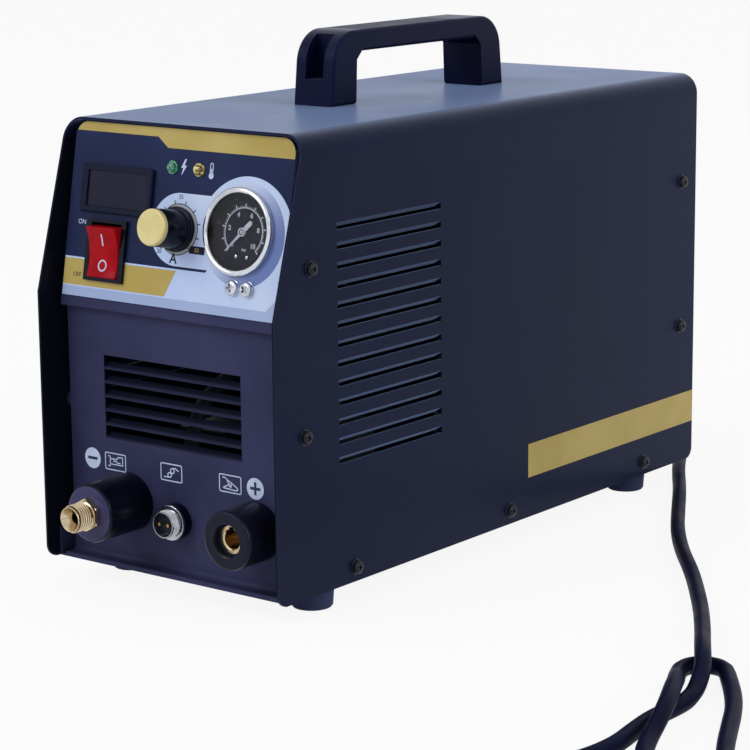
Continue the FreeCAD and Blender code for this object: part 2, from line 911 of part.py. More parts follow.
def make_front_panel():
    body = new_body()
    shelf_top = "(shelf_height + sheet)"
    section = sketch(body, "YZ_Plane")
    toe_top = "toe_height + sheet"
    outline(section, [
        ("base_front", "toe_height"), ("base_front", toe_top), ("lower_face", toe_top),
        ("lower_face", "shelf_height"), (slope_at("shelf_height", "label_sheet"), "shelf_height"),
        (slope_at("sheet_top", "label_sheet"), "sheet_top"),
        (slope_at("sheet_top", "label_sheet + sheet"), "sheet_top"),
        (slope_at(shelf_top, "label_sheet + sheet"), shelf_top), ("lower_face + sheet", shelf_top),
        ("lower_face + sheet", "toe_height")])
    feature(body, "Pad", section, "panel_width")
    dress(body, "Fillet", "toe_bend",
          lambda edge: runs_along(edge, X_AXIS) and middle_at(edge, y="lower_face", z="toe_height + sheet"))
    dress(body, "Fillet", "toe_bend + sheet",
          lambda edge: runs_along(edge, X_AXIS) and middle_at(edge, y="lower_face + sheet", z="toe_height"))
    dress(body, "Fillet", "shelf_bend",
          lambda edge: runs_along(edge, X_AXIS) and middle_at(edge, z="shelf_height"))
    flange = sketch(body, "YZ_Plane", "panel_half - sheet / 2")
    lower_back = "lower_face + flange_depth"
    flange_foot = "toe_height + toe_bend + flange_foot_gap"
    outline(flange, [
        ("lower_face + sheet / 2", flange_foot), (lower_back, flange_foot),
        (lower_back, shelf_top), (slope_at("sheet_top - 4", "flange_depth"), "sheet_top - 4"),
        (slope_at("sheet_top - 4", "label_sheet + sheet / 2"), "sheet_top - 4"),
        (slope_at(shelf_top, "label_sheet + sheet / 2"), shelf_top), ("lower_face + sheet / 2", shelf_top)])
    flange_pad = feature(body, "Pad", flange, "sheet")
    mirror = body.newObject("PartDesign::Mirrored", "Mirrored")
    mirror.Originals = [flange_pad]
    mirror.MirrorPlane = (origin_plane(body, "YZ_Plane"), [""])
    body.Tip = mirror
    bosses = sketch(body, "YZ_Plane", "(inner_half + panel_half - sheet) / 2")
    for back, up in side_screw_places()[3:5]:
        circle(bosses, back, up, "boss_radius")
    boss_pad = feature(body, "Pad", bosses, "inner_half - panel_half + sheet")
    boss_mirror = body.newObject("PartDesign::Mirrored", "Mirrored")
    boss_mirror.Originals = [boss_pad]
    boss_mirror.MirrorPlane = (origin_plane(body, "YZ_Plane"), [""])
    body.Tip = boss_mirror
    screw_holes = sketch(body, "YZ_Plane")
    for back, up in side_screw_places()[3:5]:
        circle(screw_holes, back, up, "screw_hole")
    feature(body, "Pocket", screw_holes, "case_width * 2")
    domes = sketch(body, "YZ_Plane", "grille_middle")
    slits = sketch(body, "YZ_Plane", "grille_middle")
    dome, air = louver(
        "lower_face", "+", "grille_low", "grille_window", "grille_slit", "grille_depth", hinge="foot")
    outline(domes, dome)
    outline(slits, air)
    dome_pad = feature(body, "Pad", domes, "grille_width")
    row(body, [dome_pad], "Z_Axis", "grille_count", "grille_pitch")
    slit_pocket = feature(body, "Pocket", slits, "grille_width - 2 * sheet")
    row(body, [slit_pocket], "Z_Axis", "grille_count", "grille_pitch")
    sockets = sketch(body, "XZ_Plane", "-lower_face")
    circle(sockets, "torch_x", "torch_z", "torch_neck + loose_gap")
    circle(sockets, "earth_x", "earth_z", "earth_neck + loose_gap")
    circle(sockets, "0", "trigger_z", "shell_radius + loose_gap")
    feature(body, "Pocket", sockets, "sheet * 6")
    corners = sketch(body, "XZ_Plane", "-lower_face")
    bevel = "(top_bend * 0.6 + 1)"
    for side in ("-", "+"):
        outline(corners, [
            (f"{side} (panel_half - {bevel})", "sheet_top + 1"), (f"{side} (panel_half + 1)", "sheet_top + 1"),
            (f"{side} (panel_half + 1)", f"sheet_top - {bevel}")])
    feature(body, "Pocket", corners, "case_depth")
    controls = label_sketch(body)
    control_holes(controls)
    feature(body, "Pocket", controls, "sheet * 5")
    node("front_panel", body)


def control_holes(drawing):
    """The openings that the label and the sheet behind it share."""
    circle(drawing, "gauge_x", "gauge_v", "gauge_case + loose_gap")
    circle(drawing, "knob_x", "knob_v", "bushing_radius + loose_gap")
    rectangle(drawing, "rocker_x", "rocker_v", "housing_wide + 2 * loose_gap", "housing_tall + 2 * loose_gap")
    rectangle(drawing, "display_x", "display_v", "window_wide + 2 * loose_gap", "window_tall + 2 * loose_gap")
    for across in ("lamp_green_x", "lamp_yellow_x"):
        circle(drawing, across, "lamp_v", "lamp_radius + loose_gap")
    for across in ("label_screw_left", "label_screw_right"):
        circle(drawing, across, "label_screw_v", "screw_hole")
    return drawing


def make_label():
    body = new_body()
    face = sketch(body, "XY_Plane")
    rectangle(face, "0", "label_length / 2", "label_width", "label_length")
    control_holes(face)
    feature(body, "Pad", face, "label_sheet", centred=False)
    dress(body, "Fillet", "top_bend - 3",
          lambda edge: runs_along(edge, Z_AXIS) and middle_at(edge, y="label_length"))
    node("control_label", body, *on_label("0", "0", "-label_sheet"), "label")


# The rear panel, with the openings for the fan, the gas, the cord and the earth stud


def make_rear_panel():
    body = new_body()
    plate = sketch(body, "XZ_Plane", "-(rear_inside + sheet / 2)")
    outline(plate, [
        ("-inner_half", "0"), ("-inner_half", "sheet_top"), ("inner_half", "sheet_top"), ("inner_half", "0")])
    feature(body, "Pad", plate, "sheet")
    dress(body, "Fillet", "top_bend - sheet",
          lambda edge: runs_along(edge, Y_AXIS) and middle_at(edge, z="sheet_top"))
    flange = sketch(body, "YZ_Plane", "inner_half - sheet / 2")
    flange_top = "sheet_top - top_bend"
    outline(flange, [
        ("rear_face - rear_flange", "rear_flange_foot"), ("rear_face - rear_flange", flange_top),
        ("rear_inside + sheet / 2", flange_top), ("rear_inside + sheet / 2", "rear_flange_foot")])
    flange_pad = feature(body, "Pad", flange, "sheet")
    mirror = body.newObject("PartDesign::Mirrored", "Mirrored")
    mirror.Originals = [flange_pad]
    mirror.MirrorPlane = (origin_plane(body, "YZ_Plane"), [""])
    body.Tip = mirror
    side_holes = sketch(body, "YZ_Plane")
    for back, up in side_screw_places()[5:]:
        circle(side_holes, back, up, "screw_hole")
    feature(body, "Pocket", side_holes, "case_width * 2")
    holes = sketch(body, "XZ_Plane", "-rear_face")
    circle(holes, "0", "fan_height", "fan_bore")
    for across, up in fan_screw_places():
        circle(holes, across, up, "screw_hole")
    circle(holes, "inlet_x", "inlet_z", "inlet_thread + loose_gap")
    circle(holes, "gland_x", "gland_z", "gland_thread + loose_gap")
    circle(holes, "stud_x", "stud_z", "stud_radius + loose_gap")
    feature(body, "Pocket", holes, "sheet * 6")
    node("rear_panel", body)


def fan_screw_places():
    reach = "fan_hole_spacing / 2"
    return [(f"{side} {reach}", f"fan_height {up} {reach}") for side in ("-", "+") for up in ("-", "+")]


def make_fan():
    """A square fan frame, its bladed rotor, and the wire guard outside the rear panel."""
    frame = new_body()
    square = rectangle(sketch(frame, "XY_Plane"), "0", "0", "fan_size", "fan_size")
    feature(frame, "Pad", square, "fan_depth", centred=False)
    dress(frame, "Fillet", "4", lambda edge: runs_along(edge, Z_AXIS))
    bore = circle(sketch(frame, "XY_Plane"), "0", "0", "fan_bore")
    feature(frame, "Pocket", bore, "fan_depth * 3")
    holes = sketch(frame, "XY_Plane")
    for across in ("-", "+"):
        for up in ("-", "+"):
            circle(holes, f"{across} fan_hole_spacing / 2", f"{up} fan_hole_spacing / 2", "screw_hole")
    feature(frame, "Pocket", holes, "fan_depth * 3")
    hub = circle(sketch(frame, "XY_Plane"), "0", "0", "fan_hub")
    feature(frame, "Pad", hub, "3", centred=False)
    strut = sketch(frame, "XY_Plane")
    rectangle(strut, "(fan_hub + fan_bore) / 2", "0", "fan_bore - fan_hub + 2", "3")
    strut_pad = feature(frame, "Pad", strut, "3", centred=False)
    around(frame, [strut_pad], "4")
    post = circle(sketch(frame, "XY_Plane"), "0", "0", "4")
    feature(frame, "Pad", post, "fan_depth - 8", centred=False)
    bearing = circle(sketch(frame, "XY_Plane"), "0", "0", "fan_shaft + running_gap")
    feature(frame, "Pocket", bearing, "fan_depth * 3")
    node("fan_frame", frame, "0", "rear_inside - fan_depth", "fan_height", "rear")

    rotor = turned([
        ("0", "1"), ("fan_shaft", "1"), ("fan_shaft", "fan_depth - 4"), ("fan_hub - 1.5", "fan_depth - 4"),
        ("fan_hub - 1.5", "4"), ("fan_hub", "4"), ("fan_hub", "fan_depth - 2"), ("0", "fan_depth - 2")])
    blade = rotor.newObject("PartDesign::AdditiveLoft", "Blade")
    sections = []
    for radius, lean, half in (("fan_hub - 0.8", "7", "0.9"), ("fan_tip", "13", "0.7")):
        section = sketch(rotor, "YZ_Plane", radius)
        outline(section, [
            (f"-{lean} - {half}", "5"), (f"-{lean} + {half}", "5"),
            (f"{lean} + {half}", "fan_depth - 3"), (f"{lean} - {half}", "fan_depth - 3")])
        sections.append(section)
    blade.Profile = sections[0]
    blade.Sections = sections[1:]
    around(rotor, [blade], "fan_blades")
    node("fan_rotor", rotor, "0", "rear_inside - fan_depth", "fan_height", "rear")

    wires = []
    for share in (0.28, 0.52, 0.76, 1.0):
        hoop = document.addObject("Part::Torus", "Hoop")
        hoop.setExpression("Radius1", rule(f"(fan_bore + 1) * {share}"))
        hoop.setExpression("Radius2", rule("guard_wire"))
        wires.append(seat(hoop, z="3 * guard_wire"))
    reach = "fan_hole_spacing / sqrt(2)"
    spokes = []
    for angle in (45, 135):
        turned_spoke = document.addObject("Part::MultiFuse", "Spoke")
        eye_left = rod("screw_head + 0.6", "guard_wire * 1.5", f"-({reach})")
        eye_right = rod("screw_head + 0.6", "guard_wire * 1.5", reach)
        bar_reach = f"{reach} - screw_head - 0.3"
        bar = rod("guard_wire", f"2 * ({bar_reach})", f"-({bar_reach})", "0", "1.5 * guard_wire", "right")
        turned_spoke.Shapes = [bar, eye_left, eye_right]
        turned_spoke.Placement = FreeCAD.Placement(FreeCAD.Vector(), FreeCAD.Rotation(Z_AXIS, angle))
        spokes.append(turned_spoke)
    web = joined(wires + spokes)
    holes = []
    for across in ("-", "+"):
        for up in ("-", "+"):
            place = (f"{across} fan_hole_spacing / 2", f"{up} fan_hole_spacing / 2", "-1")
            holes.append(rod("screw_hole", "8", *place))
    node("fan_guard", cut(web, holes), "0", "rear_face", "fan_height", "rear")
    screw = turned([
        ("0", "-10"), ("screw_radius", "-10"), ("screw_radius", "1.5 * guard_wire"),
        ("screw_head", "1.5 * guard_wire"), ("screw_head", "1.5 * guard_wire + 1.8"),
        ("screw_head - 0.8", "1.5 * guard_wire + 2.4"), ("0", "1.5 * guard_wire + 2.4")])
    places = [(across, "rear_face", up, "rear") for across, up in fan_screw_places()]
    node("fan_screws", group(copies(screw, places)))


# Fasteners with a cross recess


def cross_screw(head, height, washer, washer_height, length):
    """A domed screw with a cross in its head, seated at its own zero."""
    shape = [
        ("0", f"-({length})"), ("screw_radius", f"-({length})"), ("screw_radius", "0"), (washer, "0"),
        (washer, washer_height), (head, washer_height), (head, f"({height}) * 0.55 + {washer_height}"),
        (f"({head}) * 0.82", f"({height}) * 0.88 + {washer_height}"),
        (f"({head}) * 0.5", f"({height}) + {washer_height}"), ("0", f"({height}) + {washer_height}")]
    body = turned(shape)
    for wide, tall in (("cross_length", "cross_width"), ("cross_width", "cross_length")):
        recess = sketch(body, "XY_Plane", f"({height}) + {washer_height}")
        rectangle(recess, "0", "0", wide, tall)
        feature(body, "Pocket", recess, "cross_depth * 2")
    return body


def make_case_screws():
    screw = cross_screw("screw_head", "screw_head_height", "washer_radius", "washer_height", "screw_length")
    places = []
    for back, up in side_screw_places():
        places.append(("case_half", back, up, "right"))
        places.append(("-case_half", back, up, "left"))
    node("case_screws", group(copies(screw, places)))


def make_label_screws():
    screw = cross_screw("chrome_head", "chrome_height", "chrome_head + 0.2", "0.4", "screw_length")
    places = [
        (*on_label(across, "label_screw_v"), "label") for across in ("label_screw_left", "label_screw_right")]
    node("label_screws", group(copies(screw, places)))


# The carry handle: two legs and a ribbed grip


def make_handle():
    body = new_body()
    side = sketch(body, "YZ_Plane")
    outline(side, [
        ("handle_front", "0"), ("handle_front + handle_lean", "handle_height"),
        ("handle_rear - handle_lean", "handle_height"), ("handle_rear", "0")])
    feature(body, "Pad", side, "handle_width")
    dress(body, "Fillet", "handle_corner",
          lambda edge: runs_along(edge, X_AXIS) and middle_at(edge, z="handle_height"))
    window = sketch(body, "YZ_Plane")
    window_top = "handle_height - handle_grip"
    leg = "handle_leg"
    outline(window, [
        (f"handle_front + {leg}", "-1"), (f"handle_front + {leg} + 1", f"{window_top} - 4"),
        (f"handle_front + {leg} + 5", window_top), (f"handle_rear - {leg} - 5", window_top),
        (f"handle_rear - {leg} - 1", f"{window_top} - 4"), (f"handle_rear - {leg}", "-1")])
    feature(body, "Pocket", window, "handle_width * 2")
    outside = number("handle_width / 2 - 0.1")
    dress(body, "Fillet", "handle_rounding",
          lambda edge: runs_along(edge, Y_AXIS) and abs(edge.CenterOfMass.x) > outside)
    slot = sketch(body, "XZ_Plane", "-handle_front")
    rectangle(slot, "0", "handle_slot_foot + handle_height / 2", "handle_slot", "handle_height")
    feature(body, "Pocket", slot, "handle_slot_depth")
    groove = sketch(body, "YZ_Plane")
    rectangle(groove, "rib_front", "handle_height", "rib_groove", "rib_depth * 2")
    groove_pocket = feature(body, "Pocket", groove, "handle_width * 2")
    row(body, [groove_pocket], "Y_Axis", "rib_count", "rib_pitch")
    holes = sketch(body, "XY_Plane")
    for back in handle_screw_places():
        circle(holes, "0", back, "screw_hole")
    feature(body, "Pocket", holes, "20")
    node("carry_handle", body, z="case_height")


# The pressure gauge, in the frame of the label's face


def make_gauge():
    place = on_label("gauge_x", "gauge_v")
    case_inner = "(gauge_case - gauge_wall)"
    bezel_inner = "(gauge_case + loose_gap)"
    lens_top = "lens_level + lens_sheet"
    bezel = turned([
        (bezel_inner, "0"), ("bezel_radius", "0"), ("bezel_radius", "bezel_height - 1.6"),
        ("bezel_radius - 0.5", "bezel_height - 0.5"), ("bezel_radius - 1.3", "bezel_height"),
        ("bezel_lip + 0.6", "bezel_height"), ("bezel_lip", "bezel_height - 0.8"), ("bezel_lip", lens_top),
        (bezel_inner, lens_top)])
    node("gauge_bezel", bezel, *place, "label")
    port = "gauge_depth + 8"
    seat_level = "dial_level - dial_sheet"
    body = turned([
        ("needle_pivot + running_gap", "-gauge_depth + 6"), ("needle_pivot + running_gap", seat_level),
        ("6", seat_level), ("6", "-gauge_depth + 1.5"), (case_inner, "-gauge_depth + 1.5"),
        (case_inner, "lens_level"), ("gauge_case", "lens_level"), ("gauge_case", "-gauge_depth"),
        ("5", "-gauge_depth"), ("5", f"-({port})"), ("0", f"-({port})"), ("0", "-gauge_depth + 6")])
    node("gauge_body", body, *place, "label")
    dial = turned([
        ("needle_pivot + loose_gap", seat_level), (f"{case_inner} - loose_gap", seat_level),
        (f"{case_inner} - loose_gap", "dial_level"), ("needle_pivot + loose_gap", "dial_level")])
    node("gauge_dial", dial, *place, "label")
    lens_edge = "gauge_case - loose_gap"
    lens = turned([("0", "lens_level"), (lens_edge, "lens_level"), (lens_edge, lens_top), ("0", lens_top)])
    node("gauge_lens", lens, *place, "label")

    needle = new_body()
    drawing = sketch(needle, "XY_Plane", "dial_level + 0.8")
    tail = "needle_length * 0.55"
    outline(drawing, [
        ("0", "-0.9"), ("needle_length", "-0.25"), ("needle_length", "0.25"), ("0", "0.9"),
        (f"-({tail})", "0.9"), (f"-({tail})", "-0.9")])
    feature(needle, "Pad", drawing, "0.4", centred=False)
    hub = circle(sketch(needle, "XY_Plane", "dial_level + 0.5"), "0", "0", "needle_hub")
    feature(needle, "Pad", hub, "1.3", centred=False)
    pivot = circle(sketch(needle, "XY_Plane", "-gauge_depth + 7"), "0", "0", "needle_pivot")
    feature(needle, "Pad", pivot, "gauge_depth - 7 + dial_level + 1", centred=False)
    hook = sketch(needle, "XY_Plane", "dial_level + 0.8")
    outline(hook, [
        (f"-({tail}) + 0.4", "-0.9"), (f"-({tail}) + 0.4", "0.9"), (f"-({tail}) - 2.6", "2.6"),
        (f"-({tail}) - 2.6", "0.9"), (f"-({tail}) - 1", "0"), (f"-({tail}) - 1", "-0.9")])
    feature(needle, "Pad", hook, "0.4", centred=False)
    stand = seat(solid_link(needle), "0", "0", "0")
    stand.Placement = FreeCAD.Placement(FreeCAD.Vector(), FreeCAD.Rotation(Z_AXIS, -135))
    holder = group([stand])
    node("gauge_needle", holder, *place, "label")


def solid_link(thing):
    link = document.addObject("App::Link", "Copy")
    link.LinkedObject = thing
    return link


# The current knob on its potentiometer


def make_knob():
    place = on_label("knob_x", "knob_v")
    recess = "bushing_radius + 4"
    bore = "shaft_radius + running_gap"
    knob = turned([
        (recess, "knob_lift"), ("knob_skirt", "knob_lift"), ("knob_skirt", "knob_lift + 1.2"),
        ("knob_skirt - 0.8", "knob_lift + knob_skirt_height"),
        ("knob_radius", "knob_lift + knob_skirt_height"),
        ("knob_radius - 0.3", "knob_top"), ("0", "knob_top"), ("0", "shaft_top + loose_gap"),
        (bore, "shaft_top + loose_gap"), (bore, "knob_lift + 4.5"), (recess, "knob_lift + 4.5")])
    node("current_knob", knob, *place, "label")
    cap = turned([
        ("0", "knob_top"), ("cap_radius", "knob_top"), ("cap_radius", "cap_top - 0.9"),
        ("cap_radius - 0.3", "cap_top - 0.3"), ("cap_radius - 0.9", "cap_top"), ("0", "cap_top")])
    node("knob_cap", cap, *place, "label")
    back = "behind_label"
    shaft = turned([
        ("0", f"{back} - pot_depth + 3"), ("shaft_radius", f"{back} - pot_depth + 3"),
        ("shaft_radius", "shaft_top"), ("0", "shaft_top")])
    node("potentiometer_shaft", shaft, *place, "label")
    pot = turned([
        ("shaft_radius + running_gap", f"{back} - pot_depth + 2.5"), ("shaft_radius + running_gap", "3.2"),
        ("bushing_radius", "3.2"), ("bushing_radius", "2.4"), ("bushing_radius + 2.6", "2.4"),
        ("bushing_radius + 2.6", "0"), ("bushing_radius", "0"), ("bushing_radius", back),
        ("pot_radius", back), ("pot_radius", f"{back} - pot_depth"), ("0", f"{back} - pot_depth"),
        ("0", f"{back} - pot_depth + 2.5")])
    node("potentiometer", pot, *place, "label")


# The power rocker in its housing


def plate(wide, tall, low, deep):
    """A box about the Z axis, from one level upwards."""
    return block(f"-({wide}) / 2", f"-({tall}) / 2", low, wide, tall, deep)


def make_rocker():
    place = on_label("rocker_x", "rocker_v")
    flange = plate("switch_wide", "switch_tall", "0", "bezel_thick")
    shell = plate("housing_wide", "housing_tall", "-housing_depth", "housing_depth")
    well = plate("well_wide", "well_tall", "-well_depth", "well_depth + bezel_thick + 1")
    pivot_hole = rod(
        "pivot_radius + running_gap", "housing_wide", "-housing_wide / 2", "0", "-pivot_depth", "right")
    blades = [
        block(f"{across} - 0.4", "-3.15", "-housing_depth - 8", "0.8", "6.3", "8") for across in ("-6", "6")]
    solid = joined([flange, shell] + blades)
    node("switch_housing", cut(solid, [well, pivot_hole]), *place, "label")

    rocker = new_body()
    side = sketch(rocker, "YZ_Plane")
    outline(side, [
        ("-rocker_half", "-rocker_skirt"), ("rocker_half", "-rocker_skirt"), ("rocker_half", "rocker_edge"),
        ("0", "rocker_dip"), ("-rocker_half", "rocker_edge")])
    feature(rocker, "Pad", side, "rocker_wide")
    dress(rocker, "Fillet", "0.7", lambda edge: runs_along(edge, X_AXIS) and middle_at(edge, z="rocker_edge"))
    pin = circle(sketch(rocker, "YZ_Plane"), "0", "0", "pivot_radius")
    feature(rocker, "Pad", pin, "housing_wide - 0.8")
    x, y, z = on_label("rocker_x", "rocker_v", "-pivot_depth")
    node("power_rocker", rocker, x, y, z, "rocker")


# The display and the two lamps, with the board that carries them


def make_display():
    frame = new_body()
    border = sketch(frame, "XY_Plane")
    rectangle(border, "0", "0", "frame_wide", "frame_tall")
    feature(frame, "Pad", border, "frame_raise", centred=False)
    dress(frame, "Fillet", "1.5", lambda edge: runs_along(edge, Z_AXIS))
    dress(frame, "Chamfer", "0.6", lambda edge: middle_at(edge, z="frame_raise"))
    opening = sketch(frame, "XY_Plane")
    rectangle(opening, "frame_offset", "0", "window_wide + 2 * fit_gap", "window_tall + 2 * fit_gap")
    feature(frame, "Pocket", opening, "frame_raise * 3")
    node("display_frame", frame, *on_label("display_x - frame_offset", "display_v"), "label")
    window = block("0", "0", "0", "window_wide", "window_tall", "window_thick")
    x, y, z = on_label("display_x - window_wide / 2", "display_v - window_tall / 2", "window_low")
    node("display_window", window, x, y, z, "label")

    board_top = "board_level + board_sheet"
    board = block("control_left", "control_low", "board_level", "control_wide", "control_tall", "board_sheet")
    digits = block(
        "display_x - digits_wide / 2", "display_v - digits_tall / 2", board_top,
        "digits_wide", "digits_tall", f"window_low - ({board_top})")
    post_places = (
        ("control_left + 4", "control_low + control_tall - 4"),
        ("control_left + control_wide - 4", "control_low + 4"))
    posts = [rod("2.5", f"behind_label - ({board_top})", across, up, board_top) for across, up in post_places]
    node("control_board", joined([board, digits] + posts), *on_label("0", "0"), "label")
    lamp = turned([
        ("0", board_top), ("1.2", board_top), ("1.2", "-3.5"), ("lamp_radius", "-3.5"), ("lamp_radius", "0"),
        ("lamp_collar", "0"), ("lamp_collar", "0.9"), ("lamp_radius", "0.9"), ("lamp_radius", "lamp_top"),
        ("0", "lamp_top")])
    dress(lamp, "Fillet", "lamp_radius * 0.8", lambda edge: middle_at(edge, z="lamp_top"))
    for colour in ("green", "yellow"):
        x, y, z = on_label(f"lamp_{colour}_x", "lamp_v")
        node("lamp_" + colour, group([seat(solid_link(lamp))]), x, y, z, "label")


# The three connectors below the grille, each turned about its own axis out of the panel


def nut(flats, height, low, bore):
    """A six-sided nut with its corners turned off."""
    sharp = hexagon(flats, height, low)
    corner = f"({flats}) / sqrt(3)"
    barrel = turned([
        (bore, low), (f"{corner} - 0.7", low), (f"{corner} - 0.1", f"({low}) + 0.6"),
        (f"{corner} - 0.1", f"({low}) + ({height}) - 0.6"), (f"{corner} - 0.7", f"({low}) + ({height})"),
        (bore, f"({low}) + ({height})")])
    piece = document.addObject("Part::Common", "Nut")
    piece.Base = sharp
    piece.Tool = barrel
    return piece


def cone(low_radius, high_radius, length, z):
    thing = document.addObject("Part::Cone", "Cone")
    thing.setExpression("Radius1", rule(low_radius))
    thing.setExpression("Radius2", rule(high_radius))
    thing.setExpression("Height", rule(length))
    return seat(thing, z=z)


def make_torch_connector():
    place = ("torch_x", "lower_face", "torch_z", "front")
    bore = "torch_thread + loose_gap"
    boss = turned([
        (bore, "-sheet"), (bore, "torch_reach"), ("socket_radius - 1.4", "torch_reach"),
        ("socket_radius - 0.4", "torch_reach - 0.4"), ("socket_radius", "torch_reach - 1.4"),
        ("socket_radius", "0"), ("torch_neck", "0"), ("torch_neck", "-sheet")])
    node("torch_boss", boss, *place)
    shank = rod("torch_thread", "torch_tail + torch_tip", z="-torch_tail")
    flats = nut("torch_flats", "torch_hex", "torch_reach", "1")
    passage = rod("torch_bore", "torch_tail + torch_tip + 2", z="-torch_tail - 1")
    mouth = cone("torch_bore", "torch_seat", "torch_seat_depth", "torch_tip - torch_seat_depth")
    node("torch_fitting", cut(joined([shank, flats]), [passage, mouth]), *place)


def make_earth_socket():
    place = ("earth_x", "lower_face", "earth_z", "front")
    bore = "sleeve_radius + loose_gap"
    floor = "earth_reach - earth_recess_depth"
    body = turned([
        (bore, "-sheet"), (bore, floor), ("earth_recess", floor), ("earth_recess", "earth_reach"),
        ("socket_radius - 1.4", "earth_reach"), ("socket_radius - 0.4", "earth_reach - 0.4"),
        ("socket_radius", "earth_reach - 1.4"), ("socket_radius", "0"), ("earth_neck", "0"),
        ("earth_neck", "-sheet")])
    node("earth_socket_body", body, *place)
    sleeve = turned([
        ("0", "-sleeve_tail"), ("sleeve_radius", "-sleeve_tail"), ("sleeve_radius", "sleeve_reach"),
        ("sleeve_bore + 0.6", "sleeve_reach"), ("sleeve_bore", "sleeve_reach - 0.6"),
        ("sleeve_bore", "sleeve_reach - sleeve_bore_depth"), ("0", "sleeve_reach - sleeve_bore_depth")])
    key = sketch(sleeve, "XY_Plane", "sleeve_reach")
    rectangle(key, "0", "sleeve_bore + key_depth / 2 - 0.5", "key_width", "key_depth + 1")
    feature(sleeve, "Pocket", key, "key_length", centred=False)
    node("earth_socket_sleeve", sleeve, *place)


def make_trigger_socket():
    place = ("0", "lower_face", "trigger_z", "front")
    ring = turned([
        ("shell_radius + loose_gap", "0"), ("ring_radius", "0"), ("ring_radius", "ring_reach"),
        ("shell_radius + loose_gap", "ring_reach")])
    node("trigger_socket_ring", ring, *place)
    inner = "shell_radius - shell_wall"
    flange_front = "ring_reach + flange_thick"
    shell = turned([
        (inner, "-trigger_tail"), ("shell_radius", "-trigger_tail"), ("shell_radius", "ring_reach"),
        ("ring_radius", "ring_reach"), ("ring_radius", flange_front), ("shell_radius", flange_front),
        ("shell_radius", "shell_reach"), (inner, "shell_reach")])
    node("trigger_socket_shell", shell, *place)
    rim = f"{inner} - fit_gap"
    insert = turned([
        ("0", "-trigger_tail"), (rim, "-trigger_tail"), (rim, "trigger_face"), ("0", "trigger_face")])
    node("trigger_socket_insert", insert, *place)
    pins = []
    for across in ("-trigger_pin_side", "trigger_pin_side"):
        pins.append(rod("trigger_pin", "trigger_pin_reach - trigger_face", across, "0", "trigger_face"))
        pins.append(rod("trigger_pin", "4", across, "0", "-trigger_tail - 4"))
    node("trigger_socket_pins", group(pins), *place)


def make_connector_nuts():
    sizes_and_places = (
        ("torch_nut", "connector_nut_height", "torch_thread + loose_gap", "torch_x", "torch_z"),
        ("earth_nut", "connector_nut_height", "sleeve_radius + loose_gap", "earth_x", "earth_z"),
        ("trigger_nut", "trigger_nut_height", "shell_radius + loose_gap", "0", "trigger_z"))
    nuts = []
    for flats, height, bore, across, up in sizes_and_places:
        piece = nut(flats, height, f"-sheet - {height}", bore)
        nuts.append(seat(piece, across, "lower_face", up, "front"))
    node("connector_nuts", group(nuts))


# The rear fittings, each turned about its own axis out of the rear panel


def make_rear_fittings():
    barbs = []
    first_barb = 9
    barb_pitch = 6
    for index in range(3):
        low = first_barb + index * barb_pitch
        barbs.append(("inlet_root", str(low)))
        barbs.append(("inlet_crest", str(low + 0.6)))
        barbs.append(("inlet_root", str(low + barb_pitch - 0.4)))
    inward = "rear_face - valve_y - valve_deep / 2"
    profile = [
        ("inlet_bore", f"-({inward})"), ("inlet_thread", f"-({inward})"), ("inlet_thread", "0"),
        ("inlet_root", "0"), *barbs, ("inlet_root - 0.6", "inlet_reach"), ("inlet_bore", "inlet_reach")]
    flats = nut("inlet_flats", "inlet_nut_height", "0", "inlet_bore")
    node("gas_inlet", joined([turned(profile), flats]), "inlet_x", "rear_face", "inlet_z", "rear")
    stud = rod("stud_radius", "stud_reach + sheet + 6", z="-sheet - 6")
    washer = rod("stud_radius * 2", "1", z="0")
    outer = nut("stud_flats", "stud_nut_height", "1", "1")
    inner = nut("stud_flats", "stud_nut_height", "-sheet - stud_nut_height", "1")
    node("earth_stud", joined([stud, washer, outer, inner]), "stud_x", "rear_face", "stud_z", "rear")
    dome = turned([
        ("0", "-sheet - 8"), ("gland_thread", "-sheet - 8"), ("gland_thread", "gland_nut_height"),
        ("gland_flats / 2 - 0.5", "gland_nut_height"), ("gland_flats / 2 - 0.5", "11"),
        ("gland_flats / 2 - 1.8", "13.5"),
        ("cord_radius + 3", "14"), ("cord_radius + 3", "16"), ("cord_radius + 1", "gland_reach"),
        ("0", "gland_reach")])
    outer = nut("gland_flats", "gland_nut_height", "0", "1")
    inner = nut("gland_flats", "gland_back_nut", "-sheet - gland_back_nut", "1")
    node("cable_gland", joined([dome, outer, inner]), "gland_x", "rear_face", "gland_z", "rear")


# The mains cord: out of the gland, down to the floor, past the case, round its loop and into the coil.
# Each point is across and back in the case, and up from the floor, as chosen by eye for a lying cord.

